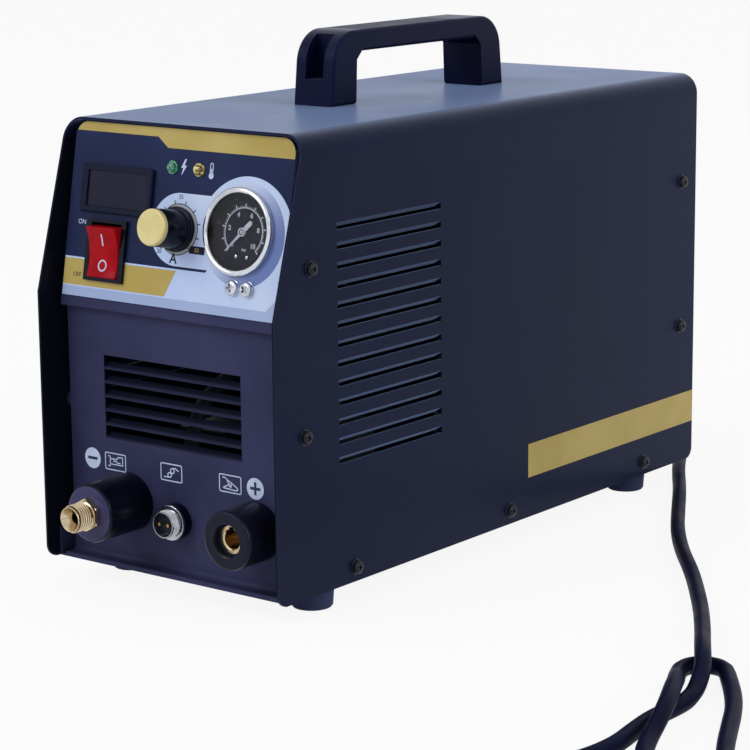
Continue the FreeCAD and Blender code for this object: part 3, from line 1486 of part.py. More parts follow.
CORD_ROUTE = [
    (5, 433, 92),
    (6, 453, 81.5),
    (8.5, 465.5, 61),
    (12, 466.5, 37.5),
    (20, 456.5, 16.5),
    (34, 438, 5.4),
    (48.5, 416, 4),
    (61, 393, 4),
    (75.5, 368.5, 4),
    (96.5, 335.5, 4),
    (119, 297, 4),
    (141.5, 259, 4),
    (164.5, 226, 4),
    (188.5, 196, 4),
    (211, 164.5, 4),
    (231.5, 133.7, 5.8),
    (253, 98.8, 9.5),
    (268, 73.4, 12.6),
    (277, 58.7, 12.9),
    (283, 48.8, 10.4),
    (288.3, 34.9, 5.6),
    (291.1, 22.7, 4.2),
    (291.4, 12.8, 4),
    (291.1, 2.3, 4),
    (291, -9.3, 4),
    (293.2, -25.7, 4),
    (296.5, -46, 4),
    (293, -72, 4),
    (276, -98, 4),
    (265, -132, 4),
    (274, -170, 4),
    (303, -194, 4),
    (341, -193, 4),
    (368, -166, 4),
    (371, -128, 4),
    (351, -95, 4),
    (331, -70, 4),
    (312, -48, 4),
    (305.2, -32, 5.4),
    (302.4, -20.1, 9.1),
    (298.5, -6.8, 12.7),
    (289.2, 13.1, 12.8),
    (279.5, 32, 9),
    (270.5, 47, 4.6),
    (265.6, 58.9, 4),
    (267.8, 67.4, 4),
    (275.1, 71.1, 4),
    (283, 69, 4),
    (290.7, 58.6, 4),
    (303.3, 40.8, 4),
    (313.5, 23.8, 4),
    (324, 1.9, 4),
    (334, -18.6, 4),
    (345, -37.9, 4),
    (358.5, -57.88, 4),
]
COIL_START = (373.5, -83.86)
COIL_HEADING = -60
COIL_HALF_TURNS = 10


def coil_path():
    """Half turns of a flat spiral inward, one that climbs a layer, and the spiral out again on top."""
    radius = number("cord_radius")
    pitch = number("coil_pitch")
    outer = number("coil_radius")
    heading = math.radians(COIL_HEADING)
    ahead = FreeCAD.Vector(math.cos(heading), math.sin(heading), 0)
    inward = FreeCAD.Vector(-math.sin(heading), math.cos(heading), 0)
    climb = COIL_HALF_TURNS // 2
    place = FreeCAD.Vector(*COIL_START, radius)
    layer = FreeCAD.Vector(0, 0, pitch)
    lead = 2 * radius
    edges = [Part.LineSegment(place - ahead * lead, place).toShape()]
    side = 1
    for index in range(COIL_HALF_TURNS):
        if index <= climb:
            turn = outer - index * pitch / 2
        else:
            turn = outer - (2 * climb - index) * pitch / 2
        across = inward * (2 * turn * side)
        rise = layer if index == climb else FreeCAD.Vector()
        following = place + across + rise
        middle = (place + following) * 0.5
        bulge = ahead * (((following - place).Length / 2) * side)
        edges.append(Part.Arc(place, middle + bulge, following).toShape())
        place = following
        side = -side
    edges.append(Part.LineSegment(place, place + ahead * number("coil_lead")).toShape())
    return Part.Wire(edges)


def least_gap_to_itself(path, radius, step=3.0):
    """The smallest distance between the surfaces of two stretches of a tube that aren't neighbours."""
    places = path.discretize(Distance=step)
    neighbours = int(math.pi * radius * 2 / step) + 3
    least = float("inf")
    for index, place in enumerate(places):
        for other in places[index + neighbours:]:
            least = min(least, (place - other).Length)
    return least - 2 * radius


def make_cord():
    radius = number("cord_radius")
    coil = coil_path()
    first = coil.Edges[0]
    coil_end = first.valueAt(first.FirstParameter)
    gland_end = point("gland_x", "rear_face + gland_reach", "gland_z + foot_height")
    route = [gland_end] + [FreeCAD.Vector(*place) for place in CORD_ROUTE] + [coil_end]
    cord = tube(route, radius, "cord")
    print(f"cord gap to itself {least_gap_to_itself(rounded_path(route), radius):.2f} mm")
    node("power_cord", cord, z="-foot_height")
    winding = solid_of(swept(coil, radius))
    print(f"coil length {coil.Length:.0f} mm, gap to itself {least_gap_to_itself(coil, radius, 1.5):.2f} mm")
    node("power_cord_coil", winding, z="-foot_height")

    last = coil.Edges[-1]
    plug_place = last.valueAt(last.LastParameter)
    x, y = str(round(plug_place.x, 3)), str(round(plug_place.y, 3))
    tail = turned([
        ("0", "0"), ("cord_radius + 0.8", "0"), ("cord_radius + 3.5", "plug_tail"), ("0", "plug_tail")])
    body = new_body()
    face = sketch(body, "XY_Plane", "plug_tail")
    rectangle(face, "0", "0", "plug_thick", "plug_width")
    feature(body, "Pad", face, "plug_length", centred=False)
    dress(body, "Fillet", "plug_thick * 0.3", lambda edge: runs_along(edge, Z_AXIS))
    shoulder = number("plug_tail") + 0.01
    dress(body, "Fillet", "5", lambda edge: edge.CenterOfMass.z < shoulder)
    plug = joined([tail, body])
    node("power_plug", plug)
    pins = []
    for across in ("-plug_pin_spacing / 2", "plug_pin_spacing / 2"):
        pins.append(rod("plug_pin_radius", "plug_pin_length", "0", across, "plug_tail + plug_length"))
    node("plug_pins", group(pins))
    for label in ("power_plug", "plug_pins"):
        thing = NODES[label]
        lying = FreeCAD.Rotation(Z_AXIS, COIL_HEADING).multiply(FreeCAD.Rotation(Y_AXIS, 90))
        thing.setExpression("Placement.Base.x", x)
        thing.setExpression("Placement.Base.y", rule(f"{y} + frame_shift"))
        thing.setExpression("Placement.Base.z", rule("plug_thick / 2"))
        thing.Placement.Rotation = lying


# The power electronics on the main board, and the gas valve behind it


def make_boards():
    board = block("0", "0", "0", "2 * board_half", "board_rear - board_front", "board_sheet")
    node("main_board", board, "-board_half", "board_front", "post_height")
    fins = new_body()
    comb = sketch(fins, "XZ_Plane", "-(sink_front + sink_length / 2)")
    rectangle(comb, "sink_inner + sink_web / 2", "board_top + sink_height / 2", "sink_web", "sink_height")
    feature(fins, "Pad", comb, "sink_length")
    fin = sketch(fins, "XZ_Plane", "-(sink_front + sink_length / 2)")
    reach = "sink_outer - sink_inner - sink_web / 2"
    rectangle(fin, f"sink_outer - ({reach}) / 2", "board_top + fin_thick / 2", reach, "fin_thick")
    fin_pad = feature(fins, "Pad", fin, "sink_length")
    row(fins, [fin_pad], "Z_Axis", "fin_count", "(sink_height - fin_thick) / (fin_count - 1)")
    other = document.addObject("Part::Mirroring", "Mirror")
    other.Source = fins
    other.Normal = X_AXIS
    node("heatsinks", group([fins, other]))
    packages = []
    for index in range(int(number("module_count"))):
        back = f"sink_front + {index} * sink_length / module_count + 9"
        for inner_face in ("sink_inner - module_thick", "-sink_inner"):
            packages.append(block(
                inner_face, back, "board_top + 3", "module_thick", "module_long", "module_tall"))
    packages.append(block(
        "-bridge_wide / 2", "capacitor_front + 3 * capacitor_pitch - 8", "board_top",
        "bridge_wide", "bridge_deep", "bridge_tall"))
    node("power_modules", group(packages))
    cans = []
    for index in range(3):
        back = f"capacitor_front + {index} * capacitor_pitch"
        cans.append(rod("capacitor_radius", "capacitor_height", "0", back, "board_top"))
    node("bus_capacitors", group(cans))


def make_magnetics():
    """The main transformer, the output choke and the ignition coil."""
    left = "core_x - core_wide / 2"
    front = "core_y - core_deep / 2"
    outer = block(left, front, "board_top", "core_wide", "core_deep", "core_tall")
    window_wide = "(core_wide - 2 * core_limb - core_leg) / 2"
    window_tall = "core_tall - 2 * core_limb"
    windows = []
    for side in (f"{left} + core_limb", "core_x + core_leg / 2"):
        windows.append(block(
            side, f"{front} - 1", "board_top + core_limb", window_wide, "core_deep + 2", window_tall))
    node("transformer_core", cut(outer, windows))
    hole_wide, hole_deep = "core_leg + 2 * loose_gap", "core_deep + 2 * loose_gap"
    bobbin = new_body()
    ring = sketch(bobbin, "XY_Plane", "board_top + core_limb + fit_gap")
    rectangle(ring, "core_x", "core_y", f"{hole_wide} + 2 * winding_wall", f"{hole_deep} + 2 * winding_wall")
    feature(bobbin, "Pad", ring, f"{window_tall} - 2 * fit_gap", centred=False)
    dress(bobbin, "Fillet", "4", lambda edge: runs_along(edge, Z_AXIS))
    hole = sketch(bobbin, "XY_Plane", "board_top")
    rectangle(hole, "core_x", "core_y", hole_wide, hole_deep)
    feature(bobbin, "Pocket", hole, "core_tall * 3")
    node("transformer_windings", bobbin)
    choke = turned([
        ("choke_hole", "0"), ("choke_radius", "0"), ("choke_radius", "choke_height"),
        ("choke_hole", "choke_height")])
    dress(choke, "Fillet", "3", lambda edge: middle_at(edge, z="choke_height"))
    node("output_choke", choke, "choke_x", "choke_y", "board_top")
    coil = new_body()
    foot = sketch(coil, "XY_Plane")
    rectangle(foot, "0", "0", "ignition_wide", "ignition_deep")
    feature(coil, "Pad", foot, "ignition_tall", centred=False)
    dress(coil, "Fillet", "3", lambda edge: runs_along(edge, Z_AXIS))
    node("ignition_coil", coil, "ignition_x", "ignition_y", "board_top")


def make_gas_parts():
    """The solenoid valve with its sliding plunger, and the hoses to the torch and the gauge."""
    low = "inlet_z - valve_tall / 2"
    left, front = "inlet_x - valve_wide / 2", "valve_y - valve_deep / 2"
    brass = block(left, front, low, "valve_wide", "valve_deep", "valve_tall")
    coil = rod("valve_coil", "valve_coil_height", "inlet_x", "valve_y", "inlet_z + valve_tall / 2")
    spigot = rod("hose_radius", "6", "inlet_x", f"{front} - 6", "inlet_z", "rear")
    seat_level = f"{low} + 5"
    bore_top = "inlet_z + valve_tall / 2 + valve_coil_height - 2"
    bore_length = f"{bore_top} - ({seat_level})"
    bore = rod("plunger_radius + running_gap", bore_length, "inlet_x", "valve_y", seat_level)
    passage = rod("2", "14", "inlet_x", f"{front} - 8", "inlet_z", "rear")
    inlet = rod("2", "14", "inlet_x", "valve_y + 3", "inlet_z", "rear")
    node("gas_valve", cut(joined([brass, coil, spigot]), [bore, passage, inlet]))
    plunger_length = f"{bore_length} - plunger_travel - 0.6"
    plunger = rod("plunger_radius", plunger_length)
    node("valve_plunger", plunger, "inlet_x", "valve_y", f"{seat_level} + 0.1")

    torch_end = point("torch_x", "lower_face + torch_tail", "torch_z")
    valve_end = point("inlet_x", f"{front} - 6", "inlet_z")
    torch_way = [(-33, 62, 48), (-37, 74, 70), (-41, 100, 82), (-44, 150, 82), (-46, 220, 80), (-45, 290, 80)]
    torch_points = [torch_end, torch_end + Y_AXIS * 16]
    torch_points += [FreeCAD.Vector(*place) for place in torch_way]
    torch_hose = tube(torch_points + [valve_end], number("hose_radius"))
    port = "-(gauge_depth + 8)"
    gauge_place = on_label("gauge_x", "gauge_v", port)
    gauge_end = point(*gauge_place)
    lean = math.radians(number("tilt"))
    backward = FreeCAD.Vector(0, math.cos(lean), -math.sin(lean))
    side_end = point("inlet_x + valve_wide / 2", "valve_y", "inlet_z")
    gauge_way = [
        (41, 86, 150), (34, 116, 128), (20, 160, 108), (4, 220, 96), (-6, 280, 88), (-8, 322, 84),
        (-14, 343, 81)]
    gauge_points = [gauge_end, gauge_end + backward * 16]
    gauge_points += [FreeCAD.Vector(*place) for place in gauge_way]
    gauge_hose = tube(gauge_points + [side_end + X_AXIS * 7, side_end], number("gauge_hose_radius"))
    node("gas_hoses", group([torch_hose, gauge_hose]))


def check_and_write():
    """Stop on a failed object or a faulty solid, then write one file for each node."""
    failed = [thing.Name for thing in document.Objects if {"Invalid", "Error"} & set(thing.State)]
    if failed:
        raise RuntimeError("failed objects: " + ", ".join(failed))
    for label, thing in NODES.items():
        if thing.Shape.isNull() or not thing.Shape.isValid() or not thing.Shape.Solids:
            raise RuntimeError("faulty solid: " + label)
    os.makedirs("parts", exist_ok=True)
    for label, thing in NODES.items():
        thing.Shape.exportStep(os.path.join("parts", label + ".step"))
    print(len(NODES), "nodes", sum(len(thing.Shape.Solids) for thing in NODES.values()), "solids")


make_cover()
make_base()
make_feet()
make_front_panel()
make_label()
make_rear_panel()
make_fan()
make_case_screws()
make_label_screws()
make_handle()
make_gauge()
make_knob()
make_rocker()
make_display()
make_torch_connector()
make_earth_socket()
make_trigger_socket()
make_connector_nuts()
make_rear_fittings()
make_cord()
make_boards()
make_magnetics()
make_gas_parts()
document.recompute()
check_and_write()
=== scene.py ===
# %% [markdown]
# A plasma cutter unit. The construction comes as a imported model, and this lesson gives it its looks.
# Nothing from the model is moved. A piece whose shape is right gets a finish, and a piece that needs more
# detail than the model holds is built here, in the same place.

import math

import bmesh
import bpy
from mathutils import Matrix, Vector


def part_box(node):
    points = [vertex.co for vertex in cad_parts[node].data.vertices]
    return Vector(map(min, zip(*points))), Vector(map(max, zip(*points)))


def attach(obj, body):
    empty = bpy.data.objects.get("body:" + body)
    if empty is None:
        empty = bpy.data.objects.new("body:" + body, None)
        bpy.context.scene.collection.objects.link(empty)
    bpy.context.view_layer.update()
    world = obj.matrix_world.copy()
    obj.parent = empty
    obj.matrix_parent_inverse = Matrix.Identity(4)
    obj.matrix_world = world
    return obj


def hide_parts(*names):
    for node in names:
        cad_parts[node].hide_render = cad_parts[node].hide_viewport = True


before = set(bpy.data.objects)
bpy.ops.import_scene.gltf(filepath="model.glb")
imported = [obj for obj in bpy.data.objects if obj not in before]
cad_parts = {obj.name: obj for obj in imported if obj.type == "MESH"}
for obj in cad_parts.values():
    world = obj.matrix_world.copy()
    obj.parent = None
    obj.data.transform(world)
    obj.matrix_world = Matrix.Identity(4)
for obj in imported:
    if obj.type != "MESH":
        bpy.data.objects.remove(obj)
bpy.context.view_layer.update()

# %% [markdown]
# Every size below is in millimetres, in the case's own directions: X across the front, Y from front to back
# and Z up, from the foot of the cover's open front edge. Blender works in metres, so one function moves a
# place from the case to the scene, and one matrix for each face lets a flat drawing be made lying down and
# then stood up where it belongs. A last small function puts an object into the scene.

# %% Places on the case
MM = 0.001
FULL_TURN = 2 * math.pi
cover_low, cover_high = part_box("cover")
CASE_ZERO = Vector((0, cover_low.y, cover_low.z))
CASE_HALF = 77.5
FLOOR = -12.0
TILT = math.radians(10.3)
LABEL_FOOT = (0, 11.2, 136.5)
LOWER_FACE = 15.5


def case_point(x, y, z):
    """A place in the case, as a point of the scene."""
    return CASE_ZERO + Vector((x, y, z)) * MM


def face_matrix(origin, across, up, out):
    """Stands up a drawing made in millimetres: its X goes across, its Y up and its Z out of the face."""
    columns = [Vector(way) * MM for way in (across, up, out)]
    turn = Matrix([[column[row] for column in columns] for row in range(3)])
    return Matrix.Translation(origin) @ turn.to_4x4()


def on_label(u=0.0, v=0.0, w=0.0, lean=0.0):
    """The sloping label: across, up the slope and out of it. A lean tips the drawing's top outwards."""
    x, y, z = LABEL_FOOT
    place = case_point(
        x + u,
        y + v * math.sin(TILT) - w * math.cos(TILT),
        z + v * math.cos(TILT) + w * math.sin(TILT))
    angle = TILT - lean
    up = (0, math.sin(angle), math.cos(angle))
    out = (0, -math.cos(angle), math.sin(angle))
    return face_matrix(place, (1, 0, 0), up, out)


def on_front(x, z):
    """The upright panel below the label."""
    return face_matrix(case_point(x, LOWER_FACE, z), (1, 0, 0), (0, 0, 1), (0, -1, 0))


def on_side(side, y, z):
    """A side wall: side 1 is the right one and side -1 the left one."""
    return face_matrix(case_point(side * CASE_HALF, y, z), (0, side, 0), (0, 0, 1), (side, 0, 0))


def into_scene(name, data):
    made = bpy.data.objects.new(name, data)
    bpy.context.scene.collection.objects.link(made)
    return made


print("case zero at", [round(value, 4) for value in CASE_ZERO])

# %% [markdown]
# The camera stands where the photographer stood: in front, to the right and a little above. A long lens from
# about 1.3 m keeps the case's edges nearly parallel. The three angles are turned into the camera's own axes,
# which is easier to check than a rotation typed in by hand.

# %% Camera
CAMERA_PLACE = (852.782, -917.214, 369.294)
CAMERA_YAW = math.radians(37.955)
CAMERA_PITCH = math.radians(-11.987)
CAMERA_ROLL = math.radians(-0.556)
CAMERA_LENS = 125.5
SENSOR_WIDTH = 36
FARTHEST_SEEN = 100
FRONT_MIDDLE = (0, 0, 110)


def make_camera():
    data = bpy.data.cameras.new("camera")
    data.lens = CAMERA_LENS
    data.sensor_width = SENSOR_WIDTH
    data.clip_end = FARTHEST_SEEN
    level = math.cos(CAMERA_PITCH)
    ahead = Vector((-math.sin(CAMERA_YAW) * level, math.cos(CAMERA_YAW) * level, math.sin(CAMERA_PITCH)))
    right = Vector((math.cos(CAMERA_YAW), math.sin(CAMERA_YAW), 0))
    above = right.cross(ahead)
    rolled_right = right * math.cos(CAMERA_ROLL) + above * math.sin(CAMERA_ROLL)
    rolled_above = above * math.cos(CAMERA_ROLL) - right * math.sin(CAMERA_ROLL)
    turn = Matrix((rolled_right, rolled_above, -ahead)).transposed().to_4x4()
    camera = into_scene("camera", data)
    camera.matrix_world = Matrix.Translation(case_point(*CAMERA_PLACE)) @ turn
    bpy.context.scene.camera = camera
    return camera


camera = make_camera()
camera_distance = (case_point(*CAMERA_PLACE) - case_point(*FRONT_MIDDLE)).length
print(camera.name, round(camera_distance, 2), "m from the case's front")

# %% [markdown]
# The mains cord leaves the gland at the back, drops to the floor, runs forward past the case, makes a loop
# that crosses itself twice, and ends in a coil with its plug. It is one NURBS curve with a round bevel,
# because a flexible cord has no corners. The points of the free stretch are listed one by one; the coil's
# turns come from a formula, two layers of loops that spiral in and then out again on top.

# %% Cord: the route
CORD_RADIUS = 4.0
GLAND_END = (5, 411.4, 92)
CORD_ROUTE = [
    (5, 433, 92), (6, 453, 81.5), (8.5, 465.5, 61), (12, 466.5, 37.5), (20, 456.5, 16.5), (34, 438, 5.4),
    (48.5, 416, 4), (61, 393, 4), (75.5, 368.5, 4), (96.5, 335.5, 4), (119, 297, 4), (141.5, 259, 4),
    (164.5, 226, 4), (188.5, 196, 4), (211, 164.5, 4),
    (231.5, 133.7, 5.8), (253, 98.8, 9.5), (268, 73.4, 12.6), (277, 58.7, 12.9), (283, 48.8, 10.4),
    (288.3, 34.9, 5.6), (291.1, 22.7, 4.2), (291.4, 12.8, 4), (291.1, 2.3, 4), (291, -9.3, 4),
    (293.2, -25.7, 4), (296.5, -46, 4), (293, -72, 4), (276, -98, 4), (265, -132, 4),
    (274, -170, 4), (303, -194, 4), (341, -193, 4), (368, -166, 4), (371, -128, 4),
    (351, -95, 4), (331, -70, 4), (312, -48, 4), (305.2, -32, 5.4), (302.4, -20.1, 9.1),
    (298.5, -6.8, 12.7), (289.2, 13.1, 12.8), (279.5, 32, 9), (270.5, 47, 4.6), (265.6, 58.9, 4),
    (267.8, 67.4, 4), (275.1, 71.1, 4), (283, 69, 4), (290.7, 58.6, 4), (303.3, 40.8, 4),
    (313.5, 23.8, 4), (324, 1.9, 4), (334, -18.6, 4), (345, -37.9, 4), (358.5, -57.88, 4)]
COIL_START = Vector((373.5, -83.86, CORD_RADIUS))
COIL_HEADING = math.radians(-60)
COIL_RADIUS = 52.5
COIL_PITCH = 8.6
COIL_HALF_TURNS = 10
COIL_LEAD = 62.0
POINTS_A_HALF_TURN = 12
LEAD_SHARES = (0.2, 0.6, 1.0)
STEPS_ROUND_CORD = 4
STEPS_ALONG_CORD = 6
AHEAD = Vector((math.cos(COIL_HEADING), math.sin(COIL_HEADING), 0))
INWARD = Vector((-math.sin(COIL_HEADING), math.cos(COIL_HEADING), 0))


def coil_points():
    """The coil's turns as points of the cord's line, and the straight lead out of it to the plug."""
    climb = COIL_HALF_TURNS // 2
    step = math.pi / POINTS_A_HALF_TURN
    widen = 1 / math.cos(step / 2)
    place = COIL_START
    side = 1
    points = []
    for index in range(COIL_HALF_TURNS):
        radius = COIL_RADIUS - min(index, 2 * climb - index) * COIL_PITCH / 2
        rise = Vector((0, 0, COIL_PITCH if index == climb else 0))
        following = place + INWARD * (2 * radius * side) + rise
        middle = (place + following) / 2
        back = place - middle
        bulge = AHEAD * (back.length * side)
        for number in range(POINTS_A_HALF_TURN):
            angle = (number + 0.5) * step
            points.append(middle + (back * math.cos(angle) + bulge * math.sin(angle)) * widen)
        place = following
        side = -side
    for share in LEAD_SHARES:
        points.append(place + AHEAD * (COIL_LEAD * share))
    return points


def make_cord():
    """One open NURBS spline through the whole route, as thick as the cord."""
    route = [Vector(GLAND_END)] + [Vector(point) for point in CORD_ROUTE] + coil_points()
    curve = bpy.data.curves.new("power_cord_line", "CURVE")
    curve.dimensions = "3D"
    curve.bevel_depth = CORD_RADIUS * MM
    curve.bevel_resolution = STEPS_ROUND_CORD
    curve.resolution_u = STEPS_ALONG_CORD
    curve.use_fill_caps = True
    spline = curve.splines.new("NURBS")
    spline.points.add(len(route) - 1)
    for point, place in zip(spline.points, route):
        point.co = (*case_point(place.x, place.y, place.z + FLOOR), 1)
    spline.order_u = 3
    spline.use_endpoint_u = True
    return into_scene("mains_cord", curve), route[-1]


mains_cord, plug_place = make_cord()
print("cord line of", len(mains_cord.data.splines[0].points), "points")

# %% [markdown]
# A catalogue photograph stands its object on a white floor. The floor here is plain and pale: the camera,
# mirror rays and glass see it white, while its own diffuse share keeps the object's soft shadow. The world is
# white in the same way, and lights the object evenly at about half strength. Two large soft lamps add the
# rest, so that a colour comes out about as it is written.

# %% Nodes: helpers
def add(tree, kind, inputs=None, **settings):
    """One node, with its settings first and then its inputs, each a value or a link."""
    made = tree.nodes.new(kind)
    for name, value in settings.items():
        setattr(made, name, value)
    for name, value in (inputs or {}).items():
        if isinstance(value, bpy.types.NodeSocket):
            tree.links.new(value, made.inputs[name])
        else:
            made.inputs[name].default_value = value
    return made


def maths(tree, operation, *values, clamp=False):
    """The result of one Math node."""
    inputs = dict(enumerate(values))
    return add(tree, "ShaderNodeMath", inputs, operation=operation, use_clamp=clamp).outputs[0]


def seen_directly(tree):
    """1 on camera, glossy and transmission rays, and 0 on the rays that light the object."""
    path = add(tree, "ShaderNodeLightPath")
    either = maths(tree, "MAXIMUM", path.outputs["Is Camera Ray"], path.outputs["Is Glossy Ray"])
    return maths(tree, "MAXIMUM", either, path.outputs["Is Transmission Ray"])


print("node helpers ready")

# %% Floor, world and lamps
FLOOR_SIZE = 24.0
FLOOR_WHITE = 0.95
FLOOR_GLOW = 0.9
WORLD_LIGHT = 0.5
LAMP_COLOUR = (0.93, 0.965, 1.0)
LAMP_SIZE = 1.2
LAMPS = {"key_lamp": ((-0.9, -1.9, 1.5), 22), "side_lamp": ((2.0, 0.1, 1.1), 12)}
CASE_MIDDLE = (0, 150, 110)


def make_floor():
    mesh = bpy.data.meshes.new("studio_floor")
    half = FLOOR_SIZE / 2
    corners = [(-half, -half, 0), (half, -half, 0), (half, half, 0), (-half, half, 0)]
    mesh.from_pydata(corners, [], [(0, 1, 2, 3)])
    material = bpy.data.materials.new("floor_white")
    material.use_nodes = True
    tree = material.node_tree
    tree.nodes.clear()
    matt = add(tree, "ShaderNodeBsdfDiffuse", {"Color": (FLOOR_WHITE, FLOOR_WHITE, FLOOR_WHITE, 1)})
    glow = add(tree, "ShaderNodeEmission", {"Color": (1, 1, 1, 1), "Strength": 1.0})
    share = maths(tree, "MULTIPLY", seen_directly(tree), FLOOR_GLOW)
    mixed = add(tree, "ShaderNodeMixShader", {0: share, 1: matt.outputs[0], 2: glow.outputs[0]})
    add(tree, "ShaderNodeOutputMaterial", {"Surface": mixed.outputs[0]})
    mesh.materials.append(material)
    floor = into_scene("studio_floor", mesh)


def make_world():
    world = bpy.data.worlds.new("studio")
    world.use_nodes = True
    tree = world.node_tree
    tree.nodes.clear()
    extra = maths(tree, "MULTIPLY_ADD", seen_directly(tree), 1 - WORLD_LIGHT, WORLD_LIGHT)
    sky = add(tree, "ShaderNodeBackground", {"Color": (1, 1, 1, 1), "Strength": extra})
    add(tree, "ShaderNodeOutputWorld", {"Surface": sky.outputs[0]})
    bpy.context.scene.world = world


def soft_lamp(name, place, power):
    """A square area lamp that faces the middle of the case."""
    data = bpy.data.lights.new(name, "AREA")
    data.size = LAMP_SIZE
    data.energy = power
    data.color = LAMP_COLOUR
    lamp = into_scene(name, data)
    lamp.location = place
    lamp.rotation_euler = (case_point(*CASE_MIDDLE) - Vector(place)).to_track_quat("-Z", "Y").to_euler()


make_floor()
make_world()
for lamp_name, (lamp_place, lamp_power) in LAMPS.items():
    soft_lamp(lamp_name, lamp_place, lamp_power)
bpy.context.scene.view_settings.view_transform = "Standard"
print("studio ready")

# %% [markdown]
# Effects that many finishes share are shader groups: each is built once and gets its own values in each
# material. Fine grain is the tiny relief of paint and moulded plastic. Patches are the slow change of tone
# that keeps a large surface from looking flat. Handling is the thin film of dust and finger marks. The edge
# group finds the edges of the sheet and the moulding by comparing the surface's direction with a rounded
# copy of it; the lighter tone laid there is partly thinner paint and partly a painted highlight. Turning
# marks are the rings that a lathe tool leaves.

# %% Shader groups: grain, patches and handling
def named_inputs(tree, inputs):
    """Gives a node tree its inputs, each with its name, type and first value, and returns their sockets."""
    for label, kind, value in inputs:
        socket = tree.interface.new_socket(label, in_out="INPUT", socket_type="NodeSocket" + kind)
        if value is not None:
            socket.default_value = value
    return tree.nodes.new("NodeGroupInput").outputs


def new_group(name, inputs, outputs):
    """An empty shader group with named sockets."""
    group = bpy.data.node_groups.new(name, "ShaderNodeTree")
    given = named_inputs(group, inputs)
    for label, kind in outputs:
        group.interface.new_socket(label, in_out="OUTPUT", socket_type="NodeSocket" + kind)
    return group, given, group.nodes.new("NodeGroupOutput").inputs


def blended(tree, share, first, second):
    """The colour between two others."""
    mix = add(tree, "ShaderNodeMix", {0: share, 6: first, 7: second}, data_type="RGBA")
    return mix.outputs[2]


def noise(tree, vector, scale, detail, roughness=0.5):
    values = {"Vector": vector, "Scale": scale, "Detail": detail, "Roughness": roughness}
    return add(tree, "ShaderNodeTexNoise", values).outputs["Fac"]


def smooth_step(tree, value, low, high):
    """0 below low, 1 above high, and a soft rise between."""
    values = {"Value": value, "From Min": low, "From Max": high}
    return add(tree, "ShaderNodeMapRange", values, interpolation_type="SMOOTHSTEP").outputs[0]


def fine_grain_group():
    group, given, out = new_group(
        "Fine grain", [("Vector", "Vector", None), ("Scale", "Float", 1400.0)], [("Height", "Float")])
    coarse = noise(group, given["Vector"], given["Scale"], 1.0)
    small_scale = maths(group, "MULTIPLY", given["Scale"], 3.7)
    small = noise(group, given["Vector"], small_scale, 1.0)
    height = maths(group, "MULTIPLY_ADD", small, 0.35, coarse)
    group.links.new(height, out["Height"])
    return group


def patches_group():
    group, given, out = new_group(
        "Patches",
        [("Vector", "Vector", None), ("Scale", "Float", 20.0),
         ("Colour", "Color", None), ("Second", "Color", None)],
        [("Colour", "Color"), ("Mask", "Float")])
    slow = noise(group, given["Vector"], given["Scale"], 4.0, 0.6)
    mask = smooth_step(group, slow, 0.35, 0.68)
    group.links.new(blended(group, mask, given["Colour"], given["Second"]), out["Colour"])
    group.links.new(mask, out["Mask"])
    return group


def handling_group():
    group, given, out = new_group(
        "Handling", [("Vector", "Vector", None), ("Scale", "Float", 60.0), ("Amount", "Float", 0.3)],
        [("Mask", "Float")])
    where = smooth_step(group, noise(group, given["Vector"], 14.0, 3.0), 0.42, 0.7)
    specks = smooth_step(group, noise(group, given["Vector"], given["Scale"], 5.0, 0.7), 0.48, 0.75)
    film = maths(group, "MULTIPLY_ADD", specks, 0.7, 0.3)
    both = maths(group, "MULTIPLY", where, film)
    group.links.new(maths(group, "MULTIPLY", both, given["Amount"]), out["Mask"])
    return group


FINE_GRAIN = fine_grain_group()
PATCHES = patches_group()
HANDLING = handling_group()
print("groups:", FINE_GRAIN.name, PATCHES.name, HANDLING.name)


# %% Shader groups: thin paint and highlight on edges, and turning marks
# Finds the edges, where finish() lays a lighter tone: partly thinner paint, partly a painted highlight.
def worn_edges_group():
    group, given, out = new_group("Thin paint and highlight on edges", [("Radius", "Float", 0.0006)], [("Mask", "Float")])
    rounded = add(group, "ShaderNodeBevel", {"Radius": given["Radius"]}, samples=6).outputs[0]
    flat = add(group, "ShaderNodeNewGeometry").outputs["Normal"]
    alike = add(group, "ShaderNodeVectorMath", {0: rounded, 1: flat}, operation="DOT_PRODUCT")
    edge = smooth_step(group, alike.outputs["Value"], 0.995, 0.8)
    group.links.new(edge, out["Mask"])
    return group


def off_axis(tree, parts):
    """The distance from the Z axis."""
    flat = add(tree, "ShaderNodeCombineXYZ", {"X": parts["X"], "Y": parts["Y"]}).outputs[0]
    return add(tree, "ShaderNodeVectorMath", {0: flat}, operation="LENGTH").outputs["Value"]


def turning_marks_group():
    group, given, out = new_group(
        "Turning marks", [("Vector", "Vector", None), ("Pitch", "Float", 0.0003)], [("Height", "Float")])
    parts = add(group, "ShaderNodeSeparateXYZ", {0: given["Vector"]}).outputs
    along = maths(group, "ADD", off_axis(group, parts), parts["Z"])
    turns = maths(group, "DIVIDE", along, given["Pitch"])
    drift = noise(group, given["Vector"], 300.0, 1.0)
    wave = maths(group, "SINE", maths(group, "MULTIPLY_ADD", turns, FULL_TURN, drift))
    group.links.new(wave, out["Height"])
    return group


EDGE_THIN_PAINT_AND_HIGHLIGHT = worn_edges_group()
TURNING_MARKS = turning_marks_group()
print("groups:", EDGE_THIN_PAINT_AND_HIGHLIGHT.name, TURNING_MARKS.name)

# %% [markdown]
# Nearly every surface here is one of two kinds, a coating or a metal, so one function makes them all from a
# maker's words: a colour and a second tone, how dull it is, how coarse its grain, how much lighter its edges
# are (thinner paint there, and a painted highlight) and how much dust it holds. The Principled shader itself
# stays in the material. A few small helpers that every material uses come first.

